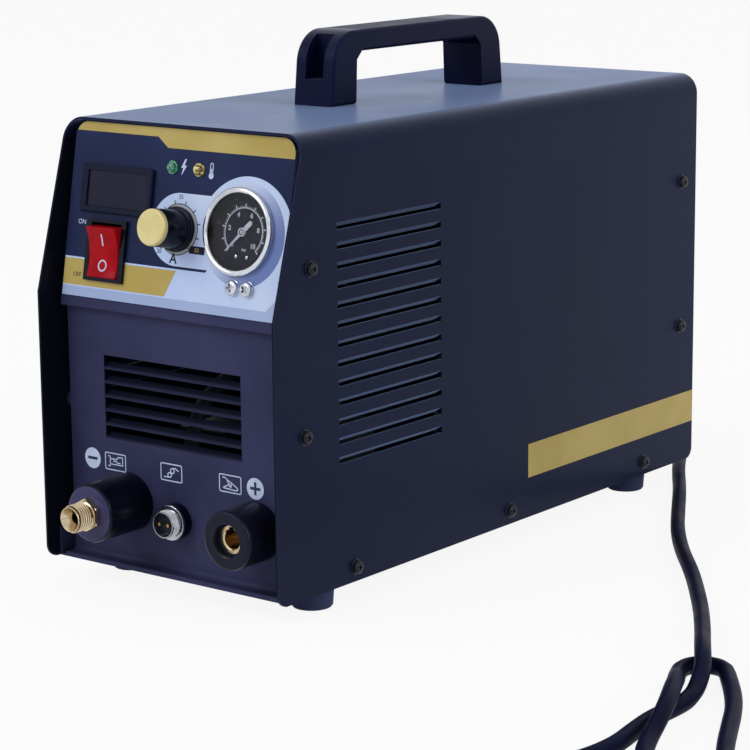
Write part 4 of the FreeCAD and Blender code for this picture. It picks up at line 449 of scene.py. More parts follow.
# %% Materials: what every one needs
def paint(red, green, blue):
    """A colour from its usual 0 to 255 values, made linear."""

    def linear(value):
        share = value / 255
        return share / 12.92 if share <= 0.04045 else ((share + 0.055) / 1.055) ** 2.4

    return (linear(red), linear(green), linear(blue), 1.0)


def group_node(tree, group, inputs):
    return add(tree, "ShaderNodeGroup", inputs, node_tree=group).outputs


def blank_material(name):
    material = bpy.data.materials.new(name)
    material.use_nodes = True
    tree = material.node_tree
    tree.nodes.clear()
    shader = add(tree, "ShaderNodeBsdfPrincipled")
    add(tree, "ShaderNodeOutputMaterial", {"Surface": shader.outputs[0]})
    return material, tree, shader


def own_place(tree):
    """Where a point of the surface is, in the piece's own coordinates."""
    return add(tree, "ShaderNodeTexCoord").outputs["Object"]


def place_parts(tree, place=None):
    """The X, Y and Z of a place."""
    return add(tree, "ShaderNodeSeparateXYZ", {0: place or own_place(tree)}).outputs


def centred_on(tree, face):
    """Where a point is, seen from a face's middle and along the face's own directions."""
    inputs = {"Vector": own_place(tree), "Location": face.to_translation(), "Rotation": face.to_euler()}
    return add(tree, "ShaderNodeMapping", inputs, vector_type="TEXTURE").outputs[0]


def relief_normal(tree, height, depth, under=None):
    """The surface's direction with a relief, which is so many millimetres deep, on it."""
    inputs = {"Height": height, "Distance": depth * MM, "Strength": 1.0}
    if under:
        inputs["Normal"] = under
    return add(tree, "ShaderNodeBump", inputs).outputs[0]


def give_shader(tree, shader, **looks):
    """Sets or links the shader's inputs, whose names are written with underscores."""
    for name, value in looks.items():
        socket = shader.inputs[name.replace("_", " ")]
        if isinstance(value, bpy.types.NodeSocket):
            tree.links.new(value, socket)
        else:
            socket.default_value = value


print("white paint comes out as", [round(part, 2) for part in paint(255, 255, 255)])

# %% Materials: the general finish
DUST = (0.26, 0.31, 0.46, 1.0)
DUST_SCALE = 90.0
DUST_DULLING = 0.5
REFLECTION_TINT = (0.55, 0.66, 1.0, 1.0)
BLOOM_TINT = (0.42, 0.58, 1.0, 1.0)
BLOOM_ROUGHNESS = 0.3
COAT_ROUGHNESS = 0.08


def finish(name, colour, second, *, rough, patch, grain, relief, spread=0.06, metallic=0.0, edge_lightening=0.0,
           edge_tone=None, edge_width=0.6, dust=0.0, coat=0.0, shine=0.5, marks=None, bloom=0.0):
    """A coating or a metal. relief, edge_width and marks' pitch and depth are in millimetres.

    Bloom is the cool haze that a powder coat shows when it is seen along its surface.
    """
    material, tree, shader = blank_material(name)
    where = own_place(tree)
    patches = group_node(tree, PATCHES, {"Vector": where, "Scale": patch, "Colour": colour, "Second": second})
    tone = patches["Colour"]
    dullness = maths(tree, "MULTIPLY_ADD", patches["Mask"], 2 * spread, rough - spread)
    if dust:
        film = group_node(tree, HANDLING, {"Vector": where, "Scale": DUST_SCALE, "Amount": dust})["Mask"]
        tone = blended(tree, film, tone, DUST)
        dullness = maths(tree, "MULTIPLY_ADD", film, DUST_DULLING, dullness)
    # Lighter edges: partly thinner paint, partly a painted highlight where edges catch light.
    if edge_lightening:
        edge = group_node(tree, EDGE_THIN_PAINT_AND_HIGHLIGHT, {"Radius": edge_width * MM})["Mask"]
        lighter_edge = maths(tree, "MULTIPLY", edge, edge_lightening)
        tone = blended(tree, lighter_edge, tone, edge_tone or second)
    height = group_node(tree, FINE_GRAIN, {"Vector": where, "Scale": grain})["Height"]
    normal = relief_normal(tree, height, relief)
    if marks:
        face, pitch, depth = marks
        inputs = {"Vector": centred_on(tree, face), "Pitch": pitch * MM}
        rings = group_node(tree, TURNING_MARKS, inputs)["Height"]
        normal = relief_normal(tree, rings, depth, normal)
    give_shader(
        tree, shader, Base_Color=tone, Roughness=dullness, Normal=normal, Metallic=metallic, Coat_Weight=coat,
        Coat_Roughness=COAT_ROUGHNESS, Specular_IOR_Level=shine, Sheen_Weight=bloom,
        Sheen_Roughness=BLOOM_ROUGHNESS, Sheen_Tint=BLOOM_TINT)
    if not metallic:
        give_shader(tree, shader, Specular_Tint=REFLECTION_TINT)
    return material


def metal(name, colour, second, **looks):
    return finish(name, colour, second, metallic=1, **looks)


def ink(name, colour, second, **looks):
    """Printing ink, which is smoother than any moulding."""
    return finish(name, colour, second, grain=2600, relief=0.004, **looks)


print("dust tone", DUST[:3])

# %% [markdown]
# The case is folded steel with a nearly black blue powder coat of low shine, a little lighter on the front
# panel. Its grain is the orange peel of the powder, a little under a millimetre across. The mouldings are
# dull black plastic with a spark-eroded texture, and the connector bosses are smoother.

# %% Materials: coatings, plastics and rubber
COVER_PAINT = finish(
    "cover_paint", paint(10, 16, 42), paint(14, 21, 49), rough=0.32, spread=0.04, patch=9, grain=1500,
    relief=0.008, edge_lightening=0.5, edge_tone=paint(56, 64, 98), edge_width=0.5, dust=0.012, shine=0.08, bloom=0.9)
PANEL_PAINT = finish(
    "panel_paint", paint(47, 48, 77), paint(58, 58, 91), rough=0.38, spread=0.04, patch=12, grain=1500,
    relief=0.008, edge_lightening=0.3, edge_tone=paint(70, 74, 108), dust=0.02, shine=0.08)
BASE_PAINT = finish(
    "base_paint", paint(16, 21, 42), paint(21, 27, 51), rough=0.46, patch=14, grain=1300, relief=0.015,
    edge_lightening=0.4, edge_tone=paint(70, 74, 92), dust=0.07, shine=0.1)
LABEL_FILM = finish(
    "label_film", paint(28, 35, 65), paint(34, 42, 77), rough=0.34, spread=0.03, patch=16, grain=2600,
    relief=0.004, dust=0.02, shine=0.12)
BLACK_PLASTIC = finish(
    "black_plastic", paint(14, 18, 36), paint(19, 23, 44), rough=0.46, patch=26, grain=2200, relief=0.02,
    edge_lightening=0.4, edge_tone=paint(46, 50, 74), edge_width=0.8, dust=0.04, shine=0.12)
HANDLE_PLASTIC = finish(
    "handle_plastic", paint(8, 11, 42), paint(11, 15, 50), rough=0.38, spread=0.04, patch=26, grain=2200,
    relief=0.012, edge_lightening=0.4, edge_tone=paint(36, 40, 66), edge_width=1.0, dust=0.015, shine=0.1, bloom=0.15)
BOSS_PLASTIC = finish(
    "boss_plastic", paint(7, 8, 19), paint(11, 12, 27), rough=0.34, patch=30, grain=2400, relief=0.006,
    edge_lightening=0.6, edge_tone=paint(72, 72, 108), edge_width=0.5, dust=0.02, shine=0.2)
GLOSS_BLACK = finish(
    "gloss_black", paint(8, 9, 16), paint(12, 13, 22), rough=0.24, spread=0.04, patch=40, grain=2600,
    relief=0.004, edge_lightening=0.4, edge_tone=paint(50, 52, 70), edge_width=0.4, dust=0.03, shine=0.2)
FOOT_RUBBER = finish(
    "foot_rubber", paint(54, 58, 90), paint(62, 66, 100), rough=0.66, patch=60, grain=1800, relief=0.03,
    dust=0.12, shine=0.12)
CORD_RUBBER = finish(
    "cord_rubber", paint(13, 16, 40), paint(18, 22, 50), rough=0.5, patch=45, grain=1700, relief=0.01,
    dust=0.01, shine=0.04)
HOSE_RUBBER = finish(
    "hose_rubber", paint(24, 24, 26), paint(44, 44, 46), rough=0.6, patch=70, grain=1600, relief=0.03,
    dust=0.1)
GOLD_PRINT = ink(
    "gold_print", paint(178, 156, 84), paint(194, 172, 104), rough=0.36, spread=0.04, patch=14, dust=0.02,
    shine=0.2)
WHITE_PRINT = ink(
    "white_print", paint(200, 214, 240), paint(186, 198, 228), rough=0.42, patch=60, shine=0.2)
DARK_PRINT = ink("dark_print", paint(20, 24, 42), paint(28, 32, 52), rough=0.4, patch=60, shine=0.15)
print(len(bpy.data.materials), "materials so far")

# %% [markdown]
# The cover's walls get painted shade, a nearly black tone, on their inner faces, and so do the slats of the
# front grille, which lean inwards, and the face strips between them. The torch boss's front face gets painted
# light, a paler tone than its side. Such a difference belongs in the material, because both faces are one
# piece: its nodes tell one face from the other by the place.

# %% Materials: painted shade and painted light on faces
SHEET = 1.2
TOP_BEND = 11.0
COVER_INSIDE_PAINTED_SHADE = paint(9, 12, 22)
SLAT_PAINTED_SHADE = paint(13, 16, 32)
SLAT_PAINTED_SHADE_DEPTHS = (0.05, 1.0)
SLAT_FACE_SHADE_SHARE = 0.55
GRILLE_FOOT, GRILLE_HEAD = 64.5, 107.4
GRILLE_MIDDLE, GRILLE_HALF = -2.5, 45.4
TORCH_REACH = 30.9
TORCH_FACE_PAINTED_LIGHT = paint(62, 60, 96)
TORCH_FACE_DEPTH = 0.2


def shaded_where(material, share, shade):
    """Lays another tone over the material's own where the share is 1."""
    tree = material.node_tree
    base = tree.nodes["Principled BSDF"].inputs["Base Color"]
    tree.links.new(blended(tree, share, base.links[0].from_socket, shade), base)


# Painted shade: the cover's inner wall faces, below the top bend, are laid nearly black.
def coat_cover_inside():
    tree = COVER_PAINT.node_tree
    across, _, up = place_parts(tree)
    within = maths(tree, "LESS_THAN", maths(tree, "ABSOLUTE", across), (CASE_HALF - SHEET / 2) * MM)
    below = maths(tree, "LESS_THAN", up, cover_high.z - TOP_BEND * MM)
    shaded_where(COVER_PAINT, maths(tree, "MULTIPLY", within, below), COVER_INSIDE_PAINTED_SHADE)


# Painted shade inside the grille window: full on the slats behind the face, part on the face strips between
# slits.
def coat_slats_thinly():
    tree = PANEL_PAINT.node_tree
    across, back, up = place_parts(tree)
    start, full = [case_point(0, LOWER_FACE + depth, 0).y for depth in SLAT_PAINTED_SHADE_DEPTHS]
    share = maths(tree, "MAXIMUM", smooth_step(tree, back, start, full), SLAT_FACE_SHADE_SHARE)
    beside = maths(tree, "ABSOLUTE", maths(tree, "SUBTRACT", across, GRILLE_MIDDLE * MM))
    within = maths(tree, "LESS_THAN", beside, GRILLE_HALF * MM)
    above = maths(tree, "GREATER_THAN", up, case_point(0, 0, GRILLE_FOOT).z)
    below = maths(tree, "LESS_THAN", up, case_point(0, 0, GRILLE_HEAD).z)
    window = maths(tree, "MULTIPLY", within, maths(tree, "MULTIPLY", above, below))
    shaded_where(PANEL_PAINT, maths(tree, "MULTIPLY", share, window), SLAT_PAINTED_SHADE)


# Painted light: the torch boss's front face is laid in a paler tone than its side.
def lighten_torch_face():
    """The torch boss's front face gets painted light: a paler tone than its side."""
    tree = BOSS_PLASTIC.node_tree
    _, back, _ = place_parts(tree)
    limit = case_point(0, LOWER_FACE - TORCH_REACH + TORCH_FACE_DEPTH, 0).y
    shaded_where(BOSS_PLASTIC, maths(tree, "LESS_THAN", back, limit), TORCH_FACE_PAINTED_LIGHT)


coat_cover_inside()
coat_slats_thinly()
lighten_torch_face()
print("the cover's inner faces are darker below", round(cover_high.z - TOP_BEND * MM, 3), "m")

# %% Materials: metals and electrical parts
GAUGE_AT = (41.7, 41.4)
KNOB_AT = (2.4, 39.2)
SWITCH_AT = (-43.4, 24.5)
GAUGE_FACE = on_label(*GAUGE_AT)
KNOB_FACE = on_label(*KNOB_AT)
TORCH_FACE = on_front(-31.5, 33.7)
EARTH_FACE = on_front(52.1, 31.6)
TRIGGER_FACE = on_front(0, 28.7)

CHROME = metal(
    "chrome", (0.62, 0.64, 0.7, 1), (0.4, 0.42, 0.48, 1), rough=0.09, spread=0.04, patch=90, grain=900,
    relief=0.004, dust=0.03)
BEZEL_CHROME = metal(
    "bezel_chrome", (0.66, 0.69, 0.75, 1), (0.5, 0.52, 0.58, 1), rough=0.1, spread=0.05, patch=120, grain=700,
    relief=0.006, marks=(GAUGE_FACE, 0.5, 0.0012))
ZINC = metal(
    "zinc", (0.42, 0.43, 0.44, 1), (0.3, 0.31, 0.32, 1), rough=0.34, patch=200, grain=2600, relief=0.01,
    dust=0.1)
BLACK_SCREW = finish(
    "black_screw", paint(18, 19, 30), paint(30, 31, 44), rough=0.26, spread=0.06, metallic=0.6, patch=260,
    grain=2600, relief=0.006, edge_lightening=0.7, edge_tone=paint(96, 98, 116), edge_width=0.3)
TORCH_BRASS = metal(
    "torch_brass", paint(208, 192, 164), paint(172, 150, 118), rough=0.2, patch=180, grain=2400,
    relief=0.005, dust=0.02, marks=(TORCH_FACE, 0.35, 0.002))
SLEEVE_BRASS = metal(
    "sleeve_brass", paint(222, 204, 172), paint(190, 166, 128), rough=0.22, patch=160, grain=2400,
    relief=0.005, marks=(EARTH_FACE, 0.35, 0.002))
BRASS = metal(
    "brass", paint(190, 158, 96), paint(150, 118, 62), rough=0.3, patch=150, grain=2400, relief=0.01,
    dust=0.06)
SHELL_CHROME = metal(
    "shell_chrome", (0.46, 0.47, 0.51, 1), (0.3, 0.31, 0.34, 1), rough=0.18, patch=240, grain=2400,
    relief=0.006, marks=(TRIGGER_FACE, 0.3, 0.002))
CAP_GOLD = finish(
    "cap_gold", paint(214, 199, 142), paint(204, 188, 128), rough=0.46, spread=0.03, metallic=0.25, patch=70,
    grain=2600, relief=0.006, edge_lightening=0.3, edge_tone=paint(232, 222, 180), marks=(KNOB_FACE, 0.25, 0.0015))
ALUMINIUM = metal(
    "aluminium", (0.5, 0.51, 0.52, 1), (0.42, 0.43, 0.44, 1), rough=0.4, patch=60, grain=2600, relief=0.012)
STEEL = metal(
    "steel", (0.4, 0.4, 0.41, 1), (0.32, 0.32, 0.33, 1), rough=0.3, patch=120, grain=2600, relief=0.01)
BOARD_GREEN = finish(
    "board_green", paint(18, 74, 44), paint(34, 96, 58), rough=0.4, patch=320, grain=1200, relief=0.03,
    coat=0.3)
EPOXY = finish(
    "epoxy", paint(22, 22, 24), paint(38, 38, 40), rough=0.5, patch=120, grain=2000, relief=0.03, edge_lightening=0.3)
CAN_SLEEVE = finish(
    "capacitor_sleeve", paint(28, 34, 66), paint(36, 44, 82), rough=0.3, patch=60, grain=1600, relief=0.01)
FERRITE = finish(
    "ferrite", paint(50, 48, 48), paint(66, 64, 62), rough=0.62, patch=200, grain=1500, relief=0.05)
POWDER_CORE = finish(
    "powder_core", paint(190, 158, 56), paint(168, 138, 44), rough=0.5, patch=180, grain=1400, relief=0.03)
print(len(bpy.data.materials), "materials so far")

# %% [markdown]
# Some finishes need a pattern of their own. The two lamps are clear plastic over a reflector, which breaks
# the light into small bright facets, so a cell texture drives their relief and lays the facets into their
# colour as painted highlights. The windings show their enamelled wires as fine ridges, with painted shade
# in the valleys between them. The gauge's lens is real glass.

# %% Materials: lamps, windings, dial, window and glass
WIRE_VALLEY_PAINTED_SHADE = paint(40, 16, 8)


def lamp_plastic(name, dark, bright):
    material, tree, shader = blank_material(name)
    cells = add(tree, "ShaderNodeTexVoronoi", {"Vector": own_place(tree), "Scale": 900.0})
    facets = add(tree, "ShaderNodeSeparateColor", {0: cells.outputs["Color"]}).outputs["Red"]
    give_shader(
        # The bright facets in the base colour are painted highlights.
        tree, shader, Base_Color=blended(tree, smooth_step(tree, facets, 0.2, 0.95), dark, bright),
        Normal=relief_normal(tree, facets, 0.1), Roughness=maths(tree, "MULTIPLY_ADD", facets, 0.1, 0.08),
        Coat_Weight=1.0)
    return material


def wound_wire(name, colour, second, wires_a_metre):
    """Enamelled wire lying in rows, as ridges across the height."""
    material, tree, shader = blank_material(name)
    where = own_place(tree)
    height = place_parts(tree, where)["Z"]
    angle = maths(tree, "MULTIPLY", height, FULL_TURN * wires_a_metre)
    ridge = maths(tree, "ABSOLUTE", maths(tree, "SINE", angle))
    patches = group_node(tree, PATCHES, {"Vector": where, "Scale": 150.0, "Colour": colour, "Second": second})
    # Painted shade in the valleys between the wires.
    shade = maths(tree, "MULTIPLY", ridge, 0.8, clamp=True)
    give_shader(
        tree, shader, Base_Color=blended(tree, shade, WIRE_VALLEY_PAINTED_SHADE, patches["Colour"]),
        Normal=relief_normal(tree, ridge, 0.4),
        Roughness=maths(tree, "MULTIPLY_ADD", patches["Mask"], 0.1, 0.3))
    return material


def clear_lens(name):
    """Glass with the faintest waviness in its surface."""
    material, tree, shader = blank_material(name)
    where = own_place(tree)
    waves = group_node(tree, FINE_GRAIN, {"Vector": where, "Scale": 60.0})["Height"]
    smears = group_node(tree, HANDLING, {"Vector": where, "Scale": 160.0, "Amount": 0.04})["Mask"]
    give_shader(
        tree, shader, Normal=relief_normal(tree, waves, 0.01), Roughness=smears, Transmission_Weight=1.0,
        IOR=1.25)
    return material


GREEN_LAMP = lamp_plastic("lamp_green", paint(0, 62, 40), paint(60, 176, 128))
YELLOW_LAMP = lamp_plastic("lamp_yellow", paint(96, 78, 10), paint(236, 214, 110))
COPPER_WINDING = wound_wire("copper_winding", paint(176, 88, 42), paint(140, 60, 28), 600)
LENS_GLASS = clear_lens("lens_glass")
DIAL_PAINT = finish(
    "dial_paint", paint(19, 23, 44), paint(25, 30, 53), rough=0.5, patch=160, grain=2600, relief=0.006,
    shine=0.05)
NEEDLE_PAINT = ink("needle_paint", paint(226, 232, 246), paint(210, 218, 238), rough=0.4, patch=200)
OLIVE_PRINT = ink("olive_print", paint(92, 92, 74), paint(74, 74, 62), rough=0.5, patch=200)
WINDOW_PLASTIC = finish(
    "window_red", paint(30, 28, 44), paint(35, 31, 48), rough=0.18, spread=0.03, patch=50, grain=2600,
    relief=0.002, dust=0.03, shine=0.15)
ROCKER_RED = finish(
    "rocker_red", paint(170, 18, 26), paint(152, 12, 20), rough=0.22, spread=0.04, patch=90, grain=2600,
    relief=0.004, edge_lightening=0.3, edge_tone=paint(206, 56, 60), edge_width=0.8, shine=0.06)
print(len(bpy.data.materials), "materials in all")

# %% [markdown]
# Most pieces of the model have the right shape, so they only need their finish: it goes into the material
# slot that the piece came with.

# %% Finishes for the model's own pieces
NODE_FINISHES = {
    COVER_PAINT: ["cover"],
    PANEL_PAINT: ["front_panel", "base_pan"],
    BASE_PAINT: ["rear_panel"],
    LABEL_FILM: ["control_label"],
    BLACK_PLASTIC: ["display_frame", "fan_frame", "fan_rotor", "cable_gland", "gauge_body"],
    HANDLE_PLASTIC: ["carry_handle"],
    BOSS_PLASTIC: ["torch_boss", "earth_socket_body", "trigger_socket_ring"],
    GLOSS_BLACK: ["switch_housing", "current_knob", "trigger_socket_insert"],
    FOOT_RUBBER: ["foot_front_left", "foot_front_right", "foot_rear_left", "foot_rear_right"],
    CORD_RUBBER: ["power_cord", "power_cord_coil", "power_plug"],
    HOSE_RUBBER: ["gas_hoses"],
    CHROME: ["label_screws"],
    BEZEL_CHROME: ["gauge_bezel"],
    ZINC: ["mounting_screws", "fan_guard", "fan_screws", "earth_stud", "connector_nuts"],
    BLACK_SCREW: ["case_screws"],
    TORCH_BRASS: ["torch_fitting"],
    SLEEVE_BRASS: ["earth_socket_sleeve"],
    BRASS: ["gas_inlet", "gas_valve", "trigger_socket_pins", "plug_pins"],
    SHELL_CHROME: ["trigger_socket_shell"],
    CAP_GOLD: ["knob_cap"],
    ALUMINIUM: ["heatsinks", "potentiometer_shaft"],
    STEEL: ["valve_plunger", "potentiometer"],
    BOARD_GREEN: ["main_board", "control_board"],
    EPOXY: ["power_modules", "ignition_coil"],
    CAN_SLEEVE: ["bus_capacitors"],
    FERRITE: ["transformer_core"],
    POWDER_CORE: ["output_choke"],
    COPPER_WINDING: ["transformer_windings"],
    GREEN_LAMP: ["lamp_green"],
    YELLOW_LAMP: ["lamp_yellow"],
    LENS_GLASS: ["gauge_lens"],
    DIAL_PAINT: ["gauge_dial"],
    NEEDLE_PAINT: ["gauge_needle"],
    WINDOW_PLASTIC: ["display_window"],
    ROCKER_RED: ["power_rocker"],
}


def give_finishes():
    finished = set()
    for material, names in NODE_FINISHES.items():
        for name in names:
            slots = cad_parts[name].data.materials
            slots.clear()
            slots.append(material)
        finished.update(names)
    return finished


unfinished = set(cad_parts) - give_finishes()
print("nodes without a finish:", sorted(unfinished))

# %% [markdown]
# The next helpers build meshes in millimetres, lying flat, and then stand them up with a face matrix. A lathe
# turns a profile, a slab gives an outline its thickness, a band follows two lines side by side, and lettering
# turns letters into a mesh. Print on a label is such a thin slab, a few hundredths of a millimetre thick,
# which is what screen-printed ink is.

# %% Mesh helpers: from one kind of mesh to another
def mesh_of(name, shape):
    """A mesh made from a bmesh, which is used up."""
    mesh = bpy.data.meshes.new(name)
    shape.to_mesh(mesh)
    shape.free()
    return mesh


def take_in(shape, mesh):
    """Adds a mesh to a bmesh. The mesh is used up."""
    shape.from_mesh(mesh)
    bpy.data.meshes.remove(mesh)


def plain_mesh(maker):
    """The mesh that an object's modifiers make. The object is used up."""
    evaluated = maker.evaluated_get(bpy.context.evaluated_depsgraph_get())
    mesh = bpy.data.meshes.new_from_object(evaluated)
    bpy.data.objects.remove(maker)
    return mesh


def built(name, shape, place, material, body="case", stands_for=(), smooth_below=35):
    """Ends a bmesh: a piece of the object, in its place, shaded, with its material and riding on its body."""
    mesh = mesh_of(name, shape)
    mesh.transform(place)
    mesh.shade_smooth()
    mesh.set_sharp_from_angle(angle=math.radians(smooth_below))
    mesh.materials.append(material)
    piece = into_scene(name, mesh)
    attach(piece, body)
    if stands_for:
        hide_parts(*stands_for)
    return piece


def printed(name, shape, material):
    """Ink on the control label."""
    return built(name, shape, on_label(), material)


print("helpers for meshes and pieces ready")

# %% Mesh helpers: lines and solids
ON_AXIS = 1e-6


def arc(x, y, radius, start, end, steps):
    """Points along an arc, its angles in degrees."""
    points = []
    for index in range(steps + 1):
        angle = math.radians(start + (end - start) * index / steps)
        points.append((x + radius * math.cos(angle), y + radius * math.sin(angle)))
    return points


def circle(shape, radius, level, steps):
    """Points round the Z axis."""
    angles = [FULL_TURN * index / steps for index in range(steps)]
    return [shape.verts.new((radius * math.cos(angle), radius * math.sin(angle), level)) for angle in angles]


def wall(shape, first, second):
    """Four-sided faces all round, between two closed lines of as many points."""
    faces = []
    for index in range(len(first)):
        after = (index + 1) % len(first)
        faces.append(shape.faces.new((first[index], first[after], second[after], second[index])))
    return faces


def lathe(profile, steps):
    """A turned solid. The profile's points are radius and height, and it closes on itself or on the axis."""
    shape = bmesh.new()
    rings = [circle(shape, radius, height, 1 if radius < ON_AXIS else steps) for radius, height in profile]
    for ring_points, following in zip(rings, rings[1:] + rings[:1]):
        for index in range(steps):
            after = (index + 1) % steps
            corners = [ring_points[index % len(ring_points)], ring_points[after % len(ring_points)]]
            corners += [following[after % len(following)], following[index % len(following)]]
            corners = list(dict.fromkeys(corners))
            if len(corners) > 2:
                shape.faces.new(corners)
    bmesh.ops.recalc_face_normals(shape, faces=shape.faces)
    return shape


def slab(shape, outline, low, high):
    """A flat piece with this outline, from one level to another."""
    bottom = [shape.verts.new((x, y, low)) for x, y in outline]
    top = [shape.verts.new((x, y, high)) for x, y in outline]
    faces = [shape.faces.new(bottom), shape.faces.new(top)] + wall(shape, bottom, top)
    bmesh.ops.recalc_face_normals(shape, faces=faces)


def band(shape, inner, outer, low, high, closed=False):
    """A flat strip between two lines of as many points, such as a ring, an arc or a stroke."""
    rails = []
    for line, level in ((inner, high), (outer, high), (outer, low), (inner, low)):
        rails.append([shape.verts.new((x, y, level)) for x, y in line])
    faces = []
    count = len(inner)
    for index in range(count if closed else count - 1):
        after = (index + 1) % count
        for rail, beside in zip(rails, rails[1:] + rails[:1]):
            faces.append(shape.faces.new((rail[index], beside[index], beside[after], rail[after])))
    if not closed:
        faces.append(shape.faces.new([rail[0] for rail in rails]))
        faces.append(shape.faces.new([rail[-1] for rail in rails]))
    bmesh.ops.recalc_face_normals(shape, faces=faces)


def stroke(shape, points, width, low, high, closed=False):
    """A line of even width with mitred corners."""
    places = [Vector(point) for point in points]
    count = len(places)
    sides = ([], [])
    for index, place in enumerate(places):
        before = places[index - 1] if index or closed else None
        after = places[(index + 1) % count] if index < count - 1 or closed else None
        ways = []
        if before is not None:
            ways.append((place - before).normalized())
        if after is not None:
            ways.append((after - place).normalized())
        normals = [Vector((-way.y, way.x)) for way in ways]
        mitre = sum(normals, Vector((0, 0))).normalized()
        reach = width / 2 / max(0.4, mitre.dot(normals[0]))
        sides[0].append(tuple(place + mitre * reach))
        sides[1].append(tuple(place - mitre * reach))
    band(shape, sides[0], sides[1], low, high, closed)


def round_line(x, y, radius, steps):
    """A closed line of so many points."""
    return arc(x, y, radius, 0, 360 - 360 / steps, steps - 1)


def ring(shape, x, y, inner, outer, low, high, steps=48):
    band(shape, round_line(x, y, inner, steps), round_line(x, y, outer, steps), low, high, closed=True)


def disc(shape, x, y, radius, low, high, steps=40):
    slab(shape, round_line(x, y, radius, steps), low, high)


def box_outline(x, y, wide, tall, corner=0.0):
    """A rectangle about its middle, with rounded corners if asked."""
    half_wide, half_tall = wide / 2 - corner, tall / 2 - corner
    if not corner:
        return [(x - half_wide, y - half_tall), (x + half_wide, y - half_tall),
                (x + half_wide, y + half_tall), (x - half_wide, y + half_tall)]
    points = []
    for side, up, start in ((1, 1, 0), (-1, 1, 90), (-1, -1, 180), (1, -1, 270)):
        points += arc(x + side * half_wide, y + up * half_tall, corner, start, start + 90, 5)
    return points


def lettering(shape, text, size, x, y, low, high, weight=0.0):
    """Letters or numbers about their middle. Weight thickens every stroke."""
    curve = bpy.data.curves.new("letters", "FONT")
    curve.body = text
    curve.size = size
    curve.align_x = "CENTER"
    curve.align_y = "CENTER"
    curve.extrude = (high - low) / 2
    curve.resolution_u = 3
    curve.offset = weight
    holder = bpy.data.objects.new("letters", curve)
    mesh = bpy.data.meshes.new_from_object(holder)
    mesh.transform(Matrix.Translation((x, y, (low + high) / 2)))
    take_in(shape, mesh)
    bpy.data.objects.remove(holder)


def carved(shape, cutter):
    """What is left of one shape when another is taken out of it. Both are used up."""
    whole, tool = [into_scene("carving", mesh_of("carving", part)) for part in (shape, cutter)]
    cut = whole.modifiers.new("Cut", "BOOLEAN")
    cut.object = tool
    cut.operation = "DIFFERENCE"
    cut.use_self = True
    left = bmesh.new()
    take_in(left, plain_mesh(whole))
    bpy.data.objects.remove(tool)
    return left


print("mesh helpers ready")

# %% [markdown]
# Things that repeat are grown by Geometry Nodes. The first tree sets bars round a circle, for the marks of a
# scale or the ribs of a skirt, and the second winds a thread. Each tree has named inputs, ends in real
# geometry with a material, and is turned into a plain mesh at once.

# %% Geometry trees: bars round a circle, and a screw thread
def new_geometry_tree(name, inputs):
    tree = bpy.data.node_groups.new(name, "GeometryNodeTree")
    given = named_inputs(tree, inputs)
    tree.interface.new_socket("Geometry", in_out="OUTPUT", socket_type="NodeSocketGeometry")
    return tree, given


def end_tree(tree, geometry, material):
    """Real geometry with its material, as every tree here ends."""
    real = add(tree, "GeometryNodeRealizeInstances", {"Geometry": geometry}).outputs[0]
    done = add(tree, "GeometryNodeSetMaterial", {"Geometry": real, "Material": material}).outputs[0]
    add(tree, "NodeGroupOutput", {"Geometry": done})


def grown(tree, material, values, start=None):
    """Runs a tree with this finish and these named values, and returns a plain mesh."""
    maker = into_scene("maker", start or bpy.data.meshes.new("maker"))
    modifier = maker.modifiers.new("Grow", "NODES")
    modifier.node_group = tree
    values = {"Finish": material, **values}
    for item in tree.interface.items_tree:
        if item.name in values:
            modifier[item.identifier] = values[item.name]
    return plain_mesh(maker)


def bars_tree():
    tree, given = new_geometry_tree("Bars round a circle", [
        ("Count", "Int", 10), ("Radius", "Float", 10.0), ("First turn", "Float", 0.0), ("Turn", "Float", 0.1),
        ("Long", "Float", 1.0), ("Wide", "Float", 0.3), ("Thick", "Float", 0.1), ("Level", "Float", 0.0),
        ("Finish", "Material", None)])
    points = add(tree, "GeometryNodePoints", {"Count": given["Count"]}).outputs[0]
    index = add(tree, "GeometryNodeInputIndex").outputs[0]
    angle = maths(tree, "MULTIPLY_ADD", index, given["Turn"], given["First turn"])
    turn = add(tree, "ShaderNodeCombineXYZ", {"Z": angle}).outputs[0]
    size = add(tree, "ShaderNodeCombineXYZ", {"X": given["Long"], "Y": given["Wide"], "Z": given["Thick"]})
    bar = add(tree, "GeometryNodeMeshCube", {"Size": size.outputs[0]}).outputs["Mesh"]
    reach = maths(tree, "MULTIPLY_ADD", given["Long"], 0.5, given["Radius"])
    shift = add(tree, "ShaderNodeCombineXYZ", {"X": reach, "Z": given["Level"]}).outputs[0]
    moved = add(tree, "GeometryNodeTransform", {"Geometry": bar, "Translation": shift}).outputs[0]
    inputs = {"Points": points, "Instance": moved, "Rotation": turn}
    copies = add(tree, "GeometryNodeInstanceOnPoints", inputs).outputs[0]
    end_tree(tree, copies, given["Finish"])
    return tree


